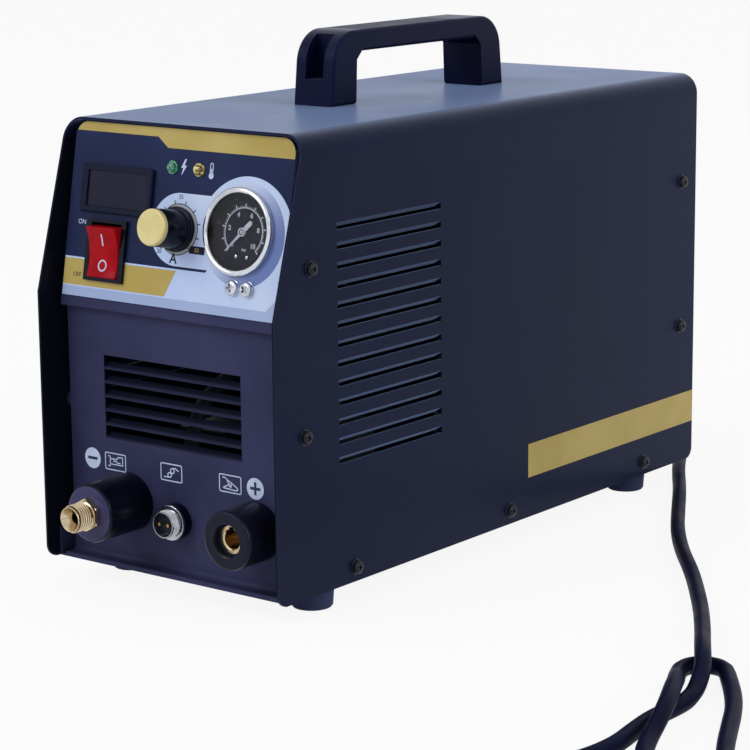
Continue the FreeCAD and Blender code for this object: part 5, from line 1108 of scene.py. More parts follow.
def thread_tree():
    """A ridge wound round a shank: a spiral with a four-sided section whose corner is the crest."""
    tree, given = new_geometry_tree("Screw thread", [
        ("Turns", "Float", 6.0), ("Radius", "Float", 7.0), ("Long", "Float", 8.0), ("Ridge", "Float", 0.5),
        ("Finish", "Material", None)])
    line = add(tree, "GeometryNodeCurveSpiral", {
        "Resolution": 48, "Rotations": given["Turns"], "Start Radius": given["Radius"],
        "End Radius": given["Radius"], "Height": given["Long"]}).outputs[0]
    upright = add(tree, "GeometryNodeSetCurveNormal", {"Curve": line}, mode="Z_UP").outputs[0]
    section = add(tree, "GeometryNodeCurvePrimitiveCircle", {"Resolution": 4, "Radius": given["Ridge"]})
    inputs = {"Curve": upright, "Profile Curve": section.outputs[0], "Fill Caps": True}
    ridge = add(tree, "GeometryNodeCurveToMesh", inputs).outputs[0]
    end_tree(tree, ridge, given["Finish"])
    return tree


BARS = bars_tree()
THREAD = thread_tree()
print("trees:", BARS.name, "and", THREAD.name)


def scale_marks(shape, material, count, radius, first, step, length, width, low, high):
    """Adds the marks of a scale to a print. Its angles are in degrees, from the right and anticlockwise."""
    take_in(shape, grown(BARS, material, {
        "Count": count, "Radius": radius, "First turn": math.radians(first), "Turn": math.radians(step),
        "Long": length, "Wide": width, "Thick": high - low, "Level": (low + high) / 2}))


# %% [markdown]
# The control label is a printed film. On a nearly black ground lie a gold band along the top, a gold band and
# a silver field at the bottom, and a silver field round the knob and the gauge. They are built as ink: the
# gold over the silver, the dark letters over both. The places of the bands are the photograph's. The gauge,
# the knob and the switch come through holes, so the fields are cut there too.

# %% Control label: the silver and gold fields
INK = 0.03
SILVER_LEVEL = (0.0, INK)
SECOND_LEVEL = (0.0, 2 * INK)
LETTER_LEVEL = (0.0, 3 * INK)
TOP_LEVEL = (0.0, 4 * INK)
LABEL_EDGE = 71.3
LABEL_TOP = 87.9
HALO = (45.3, 38.2, 30.0)
LOBE = (2.4, 39.1, 17.9)
TOP_CORNER = 7.7
GAUGE_HOLE = 20.3
KNOB_HOLE = 6.6
SWITCH_HOLE = (23.0, 29.6)
THROUGH = (-1.0, 1.0)


def silver_print(name, colour, second):
    """Silver ink, with the slow light and dark of a metallic print."""
    return ink(name, colour, second, rough=0.36, spread=0.04, patch=14, shine=0.25)


def label_openings():
    """What comes through the label: the gauge, the knob's nut and the switch."""
    cutter = bmesh.new()
    disc(cutter, *GAUGE_AT, GAUGE_HOLE, *THROUGH, steps=96)
    disc(cutter, *KNOB_AT, KNOB_HOLE, *THROUGH)
    slab(cutter, box_outline(*SWITCH_AT, *SWITCH_HOLE), *THROUGH)
    return cutter


def make_silver_field():
    shape = bmesh.new()
    outline = [(-LABEL_EDGE, 0.3), (LABEL_EDGE, 0.3), (LABEL_EDGE, 52.6)]
    outline += arc(*HALO, 29.5, 141.2, 40)[1:]
    outline += arc(*LOBE, 90, 268, 36)
    outline += [(23.4, 21.2), (22.4, 19.9), (-LABEL_EDGE, 19.9)]
    slab(shape, outline, *SILVER_LEVEL)
    printed("label_silver", carved(shape, label_openings()), SILVER_PRINT)


def make_gold_bands():
    """The band along the top follows the label's rounded corners, and the lower one ends in a slant."""
    shape = bmesh.new()
    corner = (LABEL_EDGE - TOP_CORNER, LABEL_TOP - TOP_CORNER, TOP_CORNER)
    top_band = [(-9, 78.2), (-16.1, 83.3)]
    top_band += arc(-corner[0], corner[1], corner[2], 156, 90, 8)
    top_band += arc(*corner, 90, 0, 10)
    top_band += [(LABEL_EDGE, 78.2)]
    slab(shape, top_band[::-1], *SECOND_LEVEL)
    slab(shape, [(-LABEL_EDGE, 5.8), (-2.7, 5.8), (3.6, 19), (-LABEL_EDGE, 19)], *SECOND_LEVEL)
    printed("label_gold", carved(shape, label_openings()), GOLD_PRINT)


def make_silver_foot():
    """The duller strip along the label's foot, which rises at its right end."""
    shape = bmesh.new()
    outline = [(-LABEL_EDGE, 0.3), (LABEL_EDGE, 0.3), (LABEL_EDGE, 14.2), (62.3, 5.1), (-LABEL_EDGE, 5.1)]
    slab(shape, outline, *SECOND_LEVEL)
    printed("label_silver_foot", shape, SILVER_FOOT_PRINT)


SILVER_PRINT = silver_print("silver_print", paint(182, 200, 238), paint(200, 214, 242))
SILVER_FOOT_PRINT = silver_print("silver_foot_print", paint(156, 172, 210), paint(166, 182, 218))
make_silver_field()
make_silver_foot()
make_gold_bands()
print("silver and gold fields printed")

# %% [markdown]
# Behind the gauge a disc lies on the print, pale at the upper left and blue at the lower right: painted light
# and a painted shadow of the gauge. Its nodes measure along a slanted line on the label.

# %% Control label: the painted shade round the gauge
SHADE_DISC = (44.2, 40.0, 25.5)
SHADE_DISC_SLANT = (0.83, -0.56, 0.0)
SHADE_DISC_LIT, SHADE_DISC_SHADED = paint(200, 212, 238), paint(104, 122, 178)


# Painted light at the upper left and a painted shadow of the gauge at the lower right.
def bowl_print():
    material, tree, shader = blank_material("bowl_print")
    where = own_place(tree)
    flat = centred_on(tree, on_label(SHADE_DISC[0], SHADE_DISC[1]))
    slant = add(tree, "ShaderNodeVectorMath", {0: flat, 1: SHADE_DISC_SLANT}, operation="DOT_PRODUCT")
    share = smooth_step(tree, slant.outputs["Value"], -0.018, 0.024)
    wavy = maths(tree, "MULTIPLY_ADD", noise(tree, where, 60.0, 2.0), 0.1, share)
    height = group_node(tree, FINE_GRAIN, {"Vector": where, "Scale": 2600.0})["Height"]
    give_shader(
        tree, shader, Base_Color=blended(tree, wavy, SHADE_DISC_LIT, SHADE_DISC_SHADED), Roughness=0.36,
        Normal=relief_normal(tree, height, 0.004), Specular_IOR_Level=0.25)
    return material


def make_bowl():
    shape = bmesh.new()
    disc(shape, *SHADE_DISC, *SECOND_LEVEL, steps=96)
    printed("label_bowl", carved(shape, label_openings()), bowl_print())


make_bowl()
print("disc of", 2 * SHADE_DISC[2], "mm printed")

# %% [markdown]
# The small print: ON and OFF beside the switch, the marks and numbers round the knob with the letter A for
# amperes, the two symbols beside the lamps, and the dark bar with the scale's last number. A thin dark line
# below the knob is a painted shadow of the knob.

# %% Control label: letters, numbers and symbols
def make_knob_scale():
    shape = bmesh.new()
    scale_marks(shape, DARK_PRINT, 10, 12.5, -45, 30, 1.9, 0.5, *LETTER_LEVEL)
    shape.transform(Matrix.Translation((*KNOB_AT, 0)))
    ring(shape, *KNOB_AT, 12.2, 12.7, *LETTER_LEVEL, steps=72)
    lettering(shape, "35", 3.1, 2.4, 55.0, *LETTER_LEVEL)
    lettering(shape, "20", 3.1, -8.6, 27.6, *LETTER_LEVEL)
    lettering(shape, "A", 7.0, 1.0, 24.6, *LETTER_LEVEL, weight=0.12)
    # This thin dark line along the knob's foot is a painted shadow of the knob.
    slab(shape, box_outline(2.6, 30.6, 16.4, 0.6), *LETTER_LEVEL)
    slab(shape, [(10.6, 28.2), (20.8, 28.2), (20.8, 32.0), (10.6, 32.0)], *LETTER_LEVEL)
    slab(shape, box_outline(20.2, 40.4, 1.2, 0.4), *LETTER_LEVEL)
    printed("label_dark_print", shape, DARK_PRINT)


def make_gold_small_print():
    shape = bmesh.new()
    ring(shape, *KNOB_AT, 11.5, 11.9, *TOP_LEVEL, steps=72)
    lettering(shape, "50", 3.0, 15.6, 30.0, *TOP_LEVEL)
    printed("label_gold_print", shape, GOLD_PRINT)


def make_white_small_print():
    shape = bmesh.new()
    lettering(shape, "ON", 3.4, -61.9, 37.6, *LETTER_LEVEL)
    bolt = [(2.9, 73.6), (0.6, 69.2), (2.0, 69.2), (1.2, 65.4), (4.2, 70.4), (2.7, 70.4), (3.9, 73.6)]
    slab(shape, bolt, *LETTER_LEVEL)
    tube = arc(20.3, 71.9, 0.85, 0, 180, 8) + [(19.45, 67.6)]
    stroke(shape, [(21.15, 67.6)] + tube, 0.4, *LETTER_LEVEL)
    disc(shape, 20.3, 66.6, 1.5, *LETTER_LEVEL)
    slab(shape, box_outline(20.3, 68.6, 0.7, 3.0), *LETTER_LEVEL)
    printed("label_white_print", shape, WHITE_PRINT)


def make_off_print():
    shape = bmesh.new()
    lettering(shape, "OFF", 3.2, -62.1, 11.0, *TOP_LEVEL)
    printed("label_off_print", shape, DARK_PRINT)


make_knob_scale()
make_gold_small_print()
make_white_small_print()
make_off_print()
print("small print done")

# %% [markdown]
# The gauge's bezel is a pressed steel ring with a rounded rim. It is turned here with real arcs, because
# chrome shows every facet. The dial carries a white scale to 10 with finer marks between the whole ones, and
# a dim second scale outside it.

# %% Gauge: bezel, dial print and dial screws
DIAL_LEVEL = -3.2
DIAL_INK = (DIAL_LEVEL, DIAL_LEVEL + 0.04)
ZERO_ANGLE = 225.0
SCALE_SWEEP = -270.0
SCALE_END = 10
OUTER_SCALE_END = 145
DIAL_SCREWS = (-3.4, 3.4)
DIAL_SCREW_HEIGHT = -12.0
HUB_RADIUS = 2.1


def make_bezel():
    profile = [(20.1, 0.0), (21.5, 0.0)]
    profile += arc(19.9, 1.8, 1.6, 0, 90, 10)
    profile += arc(19.9, 2.1, 1.3, 90, 180, 10)[1:]
    profile += [(20.1, 2.1)]
    built(
        "gauge_rim", lathe(profile, 128), GAUGE_FACE, BEZEL_CHROME, stands_for=["gauge_bezel"],
        smooth_below=50)


def on_arc(value, end, radius):
    angle = math.radians(ZERO_ANGLE + SCALE_SWEEP * value / end)
    return radius * math.cos(angle), radius * math.sin(angle)


def make_dial_scale():
    shape = bmesh.new()
    start, end = ZERO_ANGLE, ZERO_ANGLE + SCALE_SWEEP
    band(shape, arc(0, 0, 11.5, start, end, 60), arc(0, 0, 12.0, start, end, 60), *DIAL_INK)
    scale_marks(shape, NEEDLE_PAINT, 11, 11.8, start, SCALE_SWEEP / 10, 2.0, 0.65, *DIAL_INK)
    scale_marks(shape, NEEDLE_PAINT, 51, 11.8, start, SCALE_SWEEP / 50, 1.0, 0.28, *DIAL_INK)
    for value in range(0, SCALE_END + 1, 2):
        lettering(shape, str(value), 3.3, *on_arc(value, SCALE_END, 9.1), *DIAL_INK, weight=0.1)
    lettering(shape, "bar", 2.2, 1.2, -8.4, *DIAL_INK, weight=0.05)
    built("dial_white_scale", shape, GAUGE_FACE, NEEDLE_PAINT)


def make_outer_scale():
    shape = bmesh.new()
    scale_marks(shape, OLIVE_PRINT, 30, 14.3, ZERO_ANGLE, SCALE_SWEEP / 29, 0.9, 0.2, *DIAL_INK)
    for value in range(0, OUTER_SCALE_END, 30):
        lettering(shape, str(value), 1.9, *on_arc(value, OUTER_SCALE_END, 16.9), *DIAL_INK)
    built("dial_olive_scale", shape, GAUGE_FACE, OLIVE_PRINT)


def make_dial_screws():
    shape = bmesh.new()
    profile = [(0.9, 0), (0.9, 0.3), (0.5, 0.5), (0, 0.55), (0, 0)]
    for side in DIAL_SCREWS:
        head = lathe([(radius, DIAL_LEVEL + height) for radius, height in profile], 24)
        head.transform(Matrix.Translation((side, DIAL_SCREW_HEIGHT, 0)))
        take_in(shape, mesh_of("dial_screw", head))
    built("dial_screws", shape, GAUGE_FACE, CHROME)


def make_needle():
    """The pointer with its broad tail and hub, lying towards the scale's zero, and a dark ring on the hub."""
    level, top = DIAL_LEVEL + 0.8, DIAL_LEVEL + 1.8
    tip, waist, shoulder, tail, tail_half = 13.8, 0.8, 2.6, 7.6, 1.2
    shape = bmesh.new()
    outline = [(tip, -0.2), (tip, 0.2), (0, waist), (-shoulder, tail_half), (tail_half - tail, tail_half)]
    outline += arc(tail_half - tail, 0, tail_half, 90, 270, 10)[1:]
    outline += [(-shoulder, -tail_half), (0, -waist)]
    slab(shape, outline, level, level + 0.4)
    disc(shape, 0, 0, HUB_RADIUS, DIAL_LEVEL + 0.5, top)
    shape.transform(Matrix.Rotation(math.radians(ZERO_ANGLE), 4, "Z"))
    built("needle_pointer", shape, GAUGE_FACE, NEEDLE_PAINT, "needle", ["gauge_needle"])
    hub = bmesh.new()
    ring(hub, 0, 0, 0.9, 1.4, top - 0.1, top + 0.04, steps=32)
    built("needle_hub", hub, GAUGE_FACE, DARK_PRINT, "needle")


make_bezel()
make_dial_scale()
make_outer_scale()
make_dial_screws()
make_needle()
print("gauge scale ends at", [round(value, 1) for value in on_arc(SCALE_END, SCALE_END, 11.2)])

# %% [markdown]
# The current knob is one moulding: a smooth body that tapers a little, on a low skirt with fine ribs. The
# body is turned with rounded edges, and the ribs come from the same tree as the marks of a scale.

# %% Current knob
SKIRT_RADIUS = 10.9
RIB_COUNT = 60


def make_knob():
    profile = [(7.7, 0.5), (SKIRT_RADIUS, 0.5)]
    profile += arc(SKIRT_RADIUS, 0.8, 0.3, -90, 0, 4)[1:]
    profile += arc(10.7, 2.2, 0.5, 0, 90, 5)
    profile += arc(10.1, 3.3, 0.6, 270, 180, 5)
    profile += arc(8.7, 17.0, 0.6, 0, 90, 6)
    profile += [(0, 17.6), (0, 5.0), (7.7, 5.0)]
    shape = lathe(profile, 96)
    take_in(shape, grown(BARS, GLOSS_BLACK, {
        "Count": RIB_COUNT, "Radius": SKIRT_RADIUS, "Turn": FULL_TURN / RIB_COUNT, "Long": 0.3, "Wide": 0.45,
        "Thick": 1.3, "Level": 1.45}))
    built("knob_body", shape, KNOB_FACE, GLOSS_BLACK, "knob", ["current_knob"])


make_knob()
print("knob made with", RIB_COUNT, "ribs")

# %% [markdown]
# The power rocker is a glossy red moulding whose face is hollowed in one smooth curve, with white marks. The
# face is an extruded profile with a bevel modifier, which gives the edges their highlight. The marks are flat
# shapes that are lifted onto the curve point by point. It rests at OFF, with its upper end standing out.

# %% Power rocker
ROCKER_HALF = 12.6
ROCKER_WIDE = 19.6
ROCKER_EDGE = 8.3
ROCKER_DIP = 5.6
ROCKER_SKIRT = -3.5
ROCKER_LEAN = math.radians(8.5)
ROCKER_PIVOT = -3.0
ROCKER_STEPS = 24
ROCKER_FACE = on_label(*SWITCH_AT, ROCKER_PIVOT, ROCKER_LEAN)
ROCKER_MARK = (-0.1, 0.04)
STROKE_STEPS = 8
STROKE_STEP = 0.75
UPRIGHT = Matrix(((0, 0, 1, 0), (1, 0, 0, 0), (0, 1, 0, 0), (0, 0, 0, 1)))


def rocker_height(y):
    """The face's height at a distance up or down from its middle."""
    return ROCKER_DIP + (ROCKER_EDGE - ROCKER_DIP) * (y / ROCKER_HALF) ** 2


def make_rocker():
    outline = [(-ROCKER_HALF, ROCKER_SKIRT), (ROCKER_HALF, ROCKER_SKIRT)]
    for index in range(ROCKER_STEPS + 1):
        y = ROCKER_HALF * (1 - 2 * index / ROCKER_STEPS)
        outline.append((y, rocker_height(y)))
    shape = bmesh.new()
    slab(shape, outline, -ROCKER_WIDE / 2, ROCKER_WIDE / 2)
    shape.transform(UPRIGHT)
    maker = into_scene("rocker_maker", mesh_of("rocker", shape))
    bevel = maker.modifiers.new("Edges", "BEVEL")
    bevel.width = 0.8
    bevel.segments = 3
    bevel.angle_limit = math.radians(40)
    rounded = bmesh.new()
    take_in(rounded, plain_mesh(maker))
    built("rocker_face", rounded, ROCKER_FACE, ROCKER_RED, "rocker", ["power_rocker"])


def make_rocker_marks():
    """The stroke is cut into short lengths, so that it can follow the curve."""
    shape = bmesh.new()
    for index in range(STROKE_STEPS):
        low = 3.2 + index * STROKE_STEP
        high = low + STROKE_STEP
        slab(shape, [(-0.45, low), (0.45, low), (0.45, high), (-0.45, high)], *ROCKER_MARK)
    bmesh.ops.remove_doubles(shape, verts=shape.verts, dist=0.001)
    ring(shape, 0, -6.6, 2.1, 2.9, *ROCKER_MARK)
    for vertex in shape.verts:
        vertex.co.z += rocker_height(vertex.co.y)
    built("rocker_marks", shape, ROCKER_FACE, WHITE_PRINT, "rocker", smooth_below=60)


make_rocker()
make_rocker_marks()
print("rocker made")

# %% [markdown]
# The torch fitting is turned from hexagon brass, with a fine thread and a cone seat. A thread is a spiral, so
# Geometry Nodes winds a ridge round the shank, and the rest is turned on the lathe. The trigger socket's
# shell gets its finer thread in the same way.

# %% Threaded fittings
GROOVE_DIRT_AND_SHADE = paint(84, 62, 40)
SHAFT_STEPS = 72


def with_thread(shape, material, turns, radius, ridge, low, high):
    """Adds a thread between two heights to a turned shape."""
    wound = bmesh.new()
    take_in(wound, grown(THREAD, material, {
        "Turns": turns, "Radius": radius, "Long": high - low, "Ridge": ridge}))
    wound.transform(Matrix.Translation((0, 0, low)))
    bmesh.ops.recalc_face_normals(wound, faces=wound.faces)
    take_in(shape, mesh_of("thread", wound))


def hexagon(shape, flats, hole, low, high, chamfer=0.5):
    """A six-sided collar with turned-off corners, round a hole that the shank fills."""
    corner = flats / math.sqrt(3)
    rings = []
    for level, cut_back in ((low, chamfer), (low + chamfer, 0.0), (high - chamfer, 0.0), (high, chamfer)):
        points = []
        for index in range(SHAFT_STEPS):
            angle = FULL_TURN * index / SHAFT_STEPS
            to_flat = flats / 2 / math.cos((angle + math.pi / 6) % (math.pi / 3) - math.pi / 6)
            reach = min(to_flat, corner - cut_back)
            points.append(shape.verts.new((reach * math.cos(angle), reach * math.sin(angle), level)))
        rings.append(points)
    rings += [circle(shape, hole, level, SHAFT_STEPS) for level in (high, low)]
    faces = []
    for points, following in zip(rings, rings[1:] + rings[:1]):
        faces += wall(shape, points, following)
    bmesh.ops.recalc_face_normals(shape, faces=faces)


def darken_grooves(material, place, low, high, radius):
    """Paints dirt and shade between a thread's ridges, within a radius and between two heights."""
    tree = material.node_tree
    parts = place_parts(tree, centred_on(tree, place))
    reach = off_axis(tree, parts)
    deep = smooth_step(tree, reach, (radius + 0.6) * MM, (radius + 0.1) * MM)
    outer = maths(tree, "GREATER_THAN", reach, (radius - 0.5) * MM)
    above = maths(tree, "GREATER_THAN", parts["Z"], low * MM)
    below = maths(tree, "LESS_THAN", parts["Z"], high * MM)
    between = maths(tree, "MULTIPLY", maths(tree, "MULTIPLY", above, below), outer)
    # Dirt and painted shade in the thread's grooves.
    shaded_where(material, maths(tree, "MULTIPLY", deep, between), GROOVE_DIRT_AND_SHADE)


def make_torch_fitting():
    collar, tip = 33.9, 44.5
    bore, root, crest = 2.95, 6.15, 6.9
    darken_grooves(TORCH_BRASS, TORCH_FACE, collar + 0.5, tip - 0.7, root + 0.1)
    profile = [(bore, -15), (crest, -15), (crest, collar), (root, collar + 0.4), (root, tip - 0.6)]
    profile += [(root + 0.25, tip - 0.35), (root + 0.1, tip), (root - 0.4, tip), (bore, tip - 4.5)]
    shape = lathe(profile, 96)
    hexagon(shape, 15.0, root, TORCH_REACH, collar)
    with_thread(shape, TORCH_BRASS, 5.5, root + 0.05, 0.85, collar + 1.1, tip - 1.2)
    built(
        "torch_nipple", shape, TORCH_FACE, TORCH_BRASS, stands_for=["torch_fitting"],
        smooth_below=30)


def make_trigger_shell():
    bore, root = 6.15, 6.75
    profile = [(bore, -12), (7.1, -12), (7.1, 5), (9.0, 5)]
    profile += arc(8.7, 6.1, 0.3, 0, 90, 4)
    profile += [(root, 6.4), (root, 11.1), (6.6, 11.5), (bore, 11.5)]
    shape = lathe(profile, 96)
    with_thread(shape, SHELL_CHROME, 6.0, root, 0.36, 6.9, 11.0)
    built(
        "trigger_shell", shape, TRIGGER_FACE, SHELL_CHROME, stands_for=["trigger_socket_shell"],
        smooth_below=30)


make_torch_fitting()
make_trigger_shell()
print("threads wound")

# %% [markdown]
# The symbols on the lower panel say what plugs in below them: a minus and a plus disc, and three small framed
# line drawings for the torch, its trigger and the work clamp. They are strokes of even width, as a pad
# printer lays them down.

# %% Panel symbols
SYMBOL_LEVELS = (0.0, 0.05)
SYMBOL_HEIGHT = 52.6
SYMBOL_LINE = 0.55
TORCH_BOX, TRIGGER_BOX, CLAMP_BOX = -41.8, -3.8, 34.9
MINUS_DISC, PLUS_DISC = -57.6, 51.0
DISC_RADIUS = 5.4
ARM_REACH = 3.3
ARM_HALF = 0.75
FRAME_SIZE = (13.9, 8.6, 0.8)


def symbol_line(shape, x, points):
    """A stroke whose points are given from the middle of its box."""
    moved = [(x + across, SYMBOL_HEIGHT + up) for across, up in points]
    stroke(shape, moved, SYMBOL_LINE, *SYMBOL_LEVELS)


def draw_torch(shape):
    head = [(-5.0, -2.3), (-4.2, -2.6), (-3.6, -2.0), (-3.6, 2.2), (-4.2, 2.8), (-5.0, 2.5)]
    body = [(-3.6, 1.4), (1.0, 1.4), (1.8, 2.6), (4.9, 2.6), (4.9, -1.4), (-3.6, -1.4)]
    symbol_line(shape, TORCH_BOX, head)
    symbol_line(shape, TORCH_BOX, body)
    symbol_line(shape, TORCH_BOX, [(-1.6, 0.3), (0.6, 0.3), (1.2, -0.4), (3.4, -0.4)])


def draw_trigger(shape):
    symbol_line(shape, TRIGGER_BOX, [(-5.0, -2.5), (-1.2, -2.5)])
    symbol_line(shape, TRIGGER_BOX, arc(-1.2, -1.3, 1.2, -90, 240, 14))
    symbol_line(shape, TRIGGER_BOX, arc(0.7, 0.9, 1.25, 90, 420, 14))
    symbol_line(shape, TRIGGER_BOX, [(0.7, 2.15), (2.7, 2.5), (4.9, 1.2)])


def draw_clamp(shape):
    upper_jaw = [(-5.0, 2.9), (-3.6, 2.9), (4.4, -1.4), (4.9, -2.5), (3.6, -2.9), (-4.9, -2.4)]
    symbol_line(shape, CLAMP_BOX, upper_jaw)
    symbol_line(shape, CLAMP_BOX, [(-4.9, -2.4), (-0.8, -0.4), (-2.2, 2.0)])
    ring(shape, CLAMP_BOX + 0.1, SYMBOL_HEIGHT - 0.9, 0.4, 0.95, *SYMBOL_LEVELS, steps=16)


def make_symbols():
    shape = bmesh.new()
    for x in (TORCH_BOX, TRIGGER_BOX, CLAMP_BOX):
        frame_line = box_outline(x, SYMBOL_HEIGHT, *FRAME_SIZE)
        stroke(shape, frame_line, SYMBOL_LINE, *SYMBOL_LEVELS, closed=True)
    draw_torch(shape)
    draw_trigger(shape)
    draw_clamp(shape)
    built("panel_symbols", shape, on_front(0, 0), WHITE_PRINT)


def make_signs():
    """The minus and plus discs, whose arms are bare paint."""
    discs = bmesh.new()
    arms = bmesh.new()
    for x in (MINUS_DISC, PLUS_DISC):
        disc(discs, x, SYMBOL_HEIGHT, DISC_RADIUS, *SYMBOL_LEVELS, steps=64)
        slab(arms, box_outline(x, SYMBOL_HEIGHT, 2 * ARM_REACH, 2 * ARM_HALF), *THROUGH)
    slab(arms, box_outline(PLUS_DISC, SYMBOL_HEIGHT, 2 * ARM_HALF, 2 * ARM_REACH), *THROUGH)
    built("panel_signs", carved(discs, arms), on_front(0, 0), WHITE_PRINT)


make_signs()
make_symbols()
print("symbols printed")

# %% [markdown]
# A gold stripe runs along the foot of each side wall to the rear edge. It is self-adhesive film, so it is a
# thin slab.

# %% Side stripes
STRIPE_FRONT, STRIPE_REAR = 210.0, 379.2
STRIPE_FOOT, STRIPE_HEAD = 22.0, 40.5
STRIPE_FILM = (0.0, 0.06)


def make_stripes():
    middle = ((STRIPE_FRONT + STRIPE_REAR) / 2, (STRIPE_FOOT + STRIPE_HEAD) / 2)
    for side, name in ((1, "right"), (-1, "left")):
        shape = bmesh.new()
        outline = box_outline(0, 0, STRIPE_REAR - STRIPE_FRONT, STRIPE_HEAD - STRIPE_FOOT)
        slab(shape, outline, *STRIPE_FILM)
        built("stripe_" + name, shape, on_side(side, *middle), GOLD_PRINT)


make_stripes()
print("stripes of", STRIPE_HEAD - STRIPE_FOOT, "mm laid")

# %% [markdown]
# Fourteen pan-head screws with flat washers hold the cover. One screw is built, with its cross cut in by a
# boolean, and Geometry Nodes sets a copy at every place, each turned by its own amount, because nobody lines
# up screw slots.

# %% Case screws
SCREW_PLACES = [(60, 7.5), (193, 7.5), (326, 7.5), (21.9, 80.6), (27.5, 161.5), (363.8, 165), (363.8, 81)]
SCREW_SEED = 4
CROSS_NARROWING = 0.55
SQUARE = ((-1, -1), (1, -1), (1, 1), (-1, 1))


def screws_tree():
    """Copies of a screw on points, each facing the way that its point says and turned at random."""
    tree, given = new_geometry_tree("Screws on points", [
        ("Points", "Geometry", None), ("Screw", "Object", None), ("Seed", "Int", 0),
        ("Finish", "Material", None)])
    facing = add(tree, "GeometryNodeInputNamedAttribute", {"Name": "facing"}, data_type="FLOAT_VECTOR")
    aimed = add(tree, "FunctionNodeAlignRotationToVector", {"Vector": facing.outputs[0]}, axis="Z").outputs[0]
    random = add(tree, "FunctionNodeRandomValue", {2: 0.0, 3: FULL_TURN, "Seed": given["Seed"]}).outputs[1]
    about = add(tree, "ShaderNodeCombineXYZ", {"Z": random}).outputs[0]
    inputs = {"Rotation": aimed, "Rotate By": about}
    turned = add(tree, "FunctionNodeRotateRotation", inputs, rotation_space="LOCAL").outputs[0]
    screw = add(tree, "GeometryNodeObjectInfo", {"Object": given["Screw"]}).outputs["Geometry"]
    inputs = {"Points": given["Points"], "Instance": screw, "Rotation": turned}
    copies = add(tree, "GeometryNodeInstanceOnPoints", inputs).outputs[0]
    end_tree(tree, copies, given["Finish"])
    return tree


def cut_cross(head, size, width, depth, top):
    """A screw with a tapered cross sunk into its head."""
    cutter = bmesh.new()
    slots = ((size, width, CROSS_NARROWING, 1.0), (width, size, 1.0, CROSS_NARROWING))
    for wide, tall, narrow, other in slots:
        floor_and_lid = []
        for level, share, beside in ((top - depth, narrow, other), (top + 1, 1.0, 1.0)):
            corners = [(x * wide / 2 * share, y * tall / 2 * beside, level) for x, y in SQUARE]
            floor_and_lid.append([cutter.verts.new(corner) for corner in corners])
        for line in floor_and_lid:
            cutter.faces.new(line)
        wall(cutter, *floor_and_lid)
    bmesh.ops.recalc_face_normals(cutter, faces=cutter.faces)
    return carved(head, cutter)


def make_case_screws():
    shank, washer, head, top = 1.8, 4.1, 3.3, 2.9
    profile = [(0, -9), (shank, -9), (shank, -0.05), (washer, -0.05), (washer, 0.45), (3.95, 0.6)]
    profile += [(head, 0.6), (head, 1.7)]
    profile += arc(1.9, 1.5, 1.4, 10, 90, 6)
    profile += [(0, top)]
    screw = into_scene("screw_maker", mesh_of("screw", cut_cross(lathe(profile, 40), 3.6, 0.95, 1.5, top)))
    points = bpy.data.meshes.new("screw_points")
    places = [(side, y, z) for side in (1, -1) for y, z in SCREW_PLACES]
    points.from_pydata([(side * CASE_HALF, y, z) for side, y, z in places], [], [])
    facing = points.attributes.new("facing", "FLOAT_VECTOR", "POINT")
    for item, (side, _, _) in zip(facing.data, places):
        item.vector = (side, 0, 0)
    shape = bmesh.new()
    take_in(shape, grown(screws_tree(), BLACK_SCREW, {"Screw": screw, "Seed": SCREW_SEED}, points))
    bpy.data.objects.remove(screw)
    on_case = Matrix.Translation(CASE_ZERO) @ Matrix.Scale(MM, 4)
    built("cover_screws", shape, on_case, BLACK_SCREW, stands_for=["case_screws"])
    return len(places)


print(make_case_screws(), "screws set")

# %% [markdown]
# Two larger chrome screws sit side by side below the gauge. Two is too few for a tree, so a loop builds each,
# turned by its own angle.

# %% Chrome screws on the label
CHROME_SCREWS = ((41.0, 12), (50.2, 50))
CHROME_SCREW_HEIGHT = 14.4


def make_chrome_screws():
    shank, washer, head, top = 1.9, 3.85, 3.65, 2.95
    profile = [(0, -9), (shank, -9), (shank, 0.1), (washer, 0.1), (washer, 0.4), (head, 0.5), (head, 1.4)]
    profile += arc(2.2, 1.4, 1.45, 0, 90, 8)[1:]
    profile += [(0, top)]
    both = bmesh.new()
    for across, turn in CHROME_SCREWS:
        screw = cut_cross(lathe(profile, 64), 5.4, 1.3, 1.7, top)
        screw.transform(Matrix.Rotation(math.radians(turn), 4, "Z"))
        screw.transform(Matrix.Translation((across, CHROME_SCREW_HEIGHT, 0)))
        take_in(both, mesh_of("chrome_screw", screw))
    built("chrome_screws", both, on_label(), CHROME, stands_for=["label_screws"])


make_chrome_screws()
print("chrome screws set")

# %% [markdown]
# The plug is moulded onto the cord. Its sections are rounded rectangles strung along the cord's last
# direction: a ribbed tail that lets the cord bend, a waist, and a body with finger grips. Joining section to
# section gives one smooth closed shape.

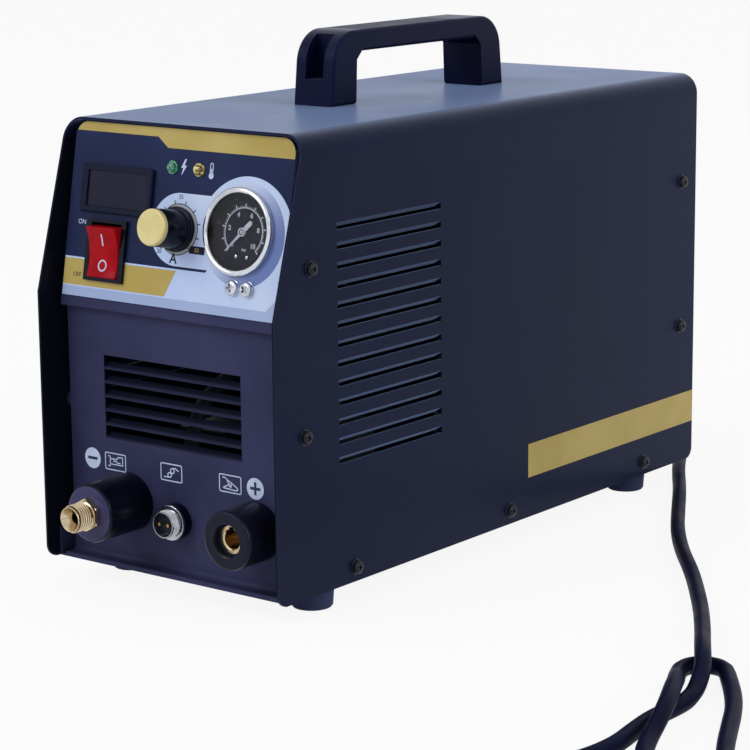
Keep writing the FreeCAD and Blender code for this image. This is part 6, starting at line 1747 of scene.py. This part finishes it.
# %% Mains plug, and the cord's finish and body
PLUG_STEPS = 48
PLUG_MIDDLE = 12.5
TAIL_RIBS = 6


def rounded_section(half_wide, half_thick, square):
    """A closed line between an ellipse, at 2, and a rectangle, at a high number."""
    points = []
    for index in range(PLUG_STEPS):
        angle = FULL_TURN * index / PLUG_STEPS
        x, y = math.cos(angle), math.sin(angle)
        points.append((
            math.copysign(abs(x) ** (2 / square), x) * half_wide,
            math.copysign(abs(y) ** (2 / square), y) * half_thick))
    return points


def plug_sections():
    """Distance along the plug, half width, half thickness and squareness of each section."""
    sections = [(0, 4.8, 4.8, 2.0)]
    for index in range(TAIL_RIBS):
        start = 2 + index * 4.2
        radius = 5.2 + index * 0.34
        for along, change in ((0, 0), (2.2, 0.1), (2.6, -0.6), (3.8, -0.5)):
            sections.append((start + along, radius + change, radius + change, 2.0))
    sections += [(30, 9.5, 8.5, 2.4), (33, 14.6, 10.6, 3.0), (37, 16.4, 11.6, 3.6), (43, 15.6, 11.4, 4.0)]
    sections += [(49, 15.4, 11.4, 4.2), (56, 16.6, 12.0, 4.6), (62, 17.8, 12.5, 5.0), (70.6, 17.9, 12.5, 5.0)]
    sections += [(71.7, 17.2, 11.8, 5.0), (72, 16.4, 11.0, 5.0)]
    return sections


def make_plug():
    shape = bmesh.new()
    rings = []
    for along, half_wide, half_thick, square in plug_sections():
        line = rounded_section(half_wide, half_thick, square)
        rings.append([shape.verts.new((y, x, along)) for x, y in line])
    for points, following in zip(rings, rings[1:]):
        wall(shape, points, following)
    shape.faces.new(rings[0])
    shape.faces.new(rings[-1])
    bmesh.ops.recalc_face_normals(shape, faces=shape.faces)
    end = case_point(plug_place.x, plug_place.y, PLUG_MIDDLE + FLOOR)
    place = face_matrix(end, (0, 0, 1), -INWARD, AHEAD)
    return built(
        "mains_plug", shape, place, CORD_RUBBER, stands_for=["power_plug"], smooth_below=50)


mains_plug = make_plug()
mains_cord.data.materials.append(CORD_RUBBER)
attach(mains_cord, "case")
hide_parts("power_cord", "power_cord_coil")
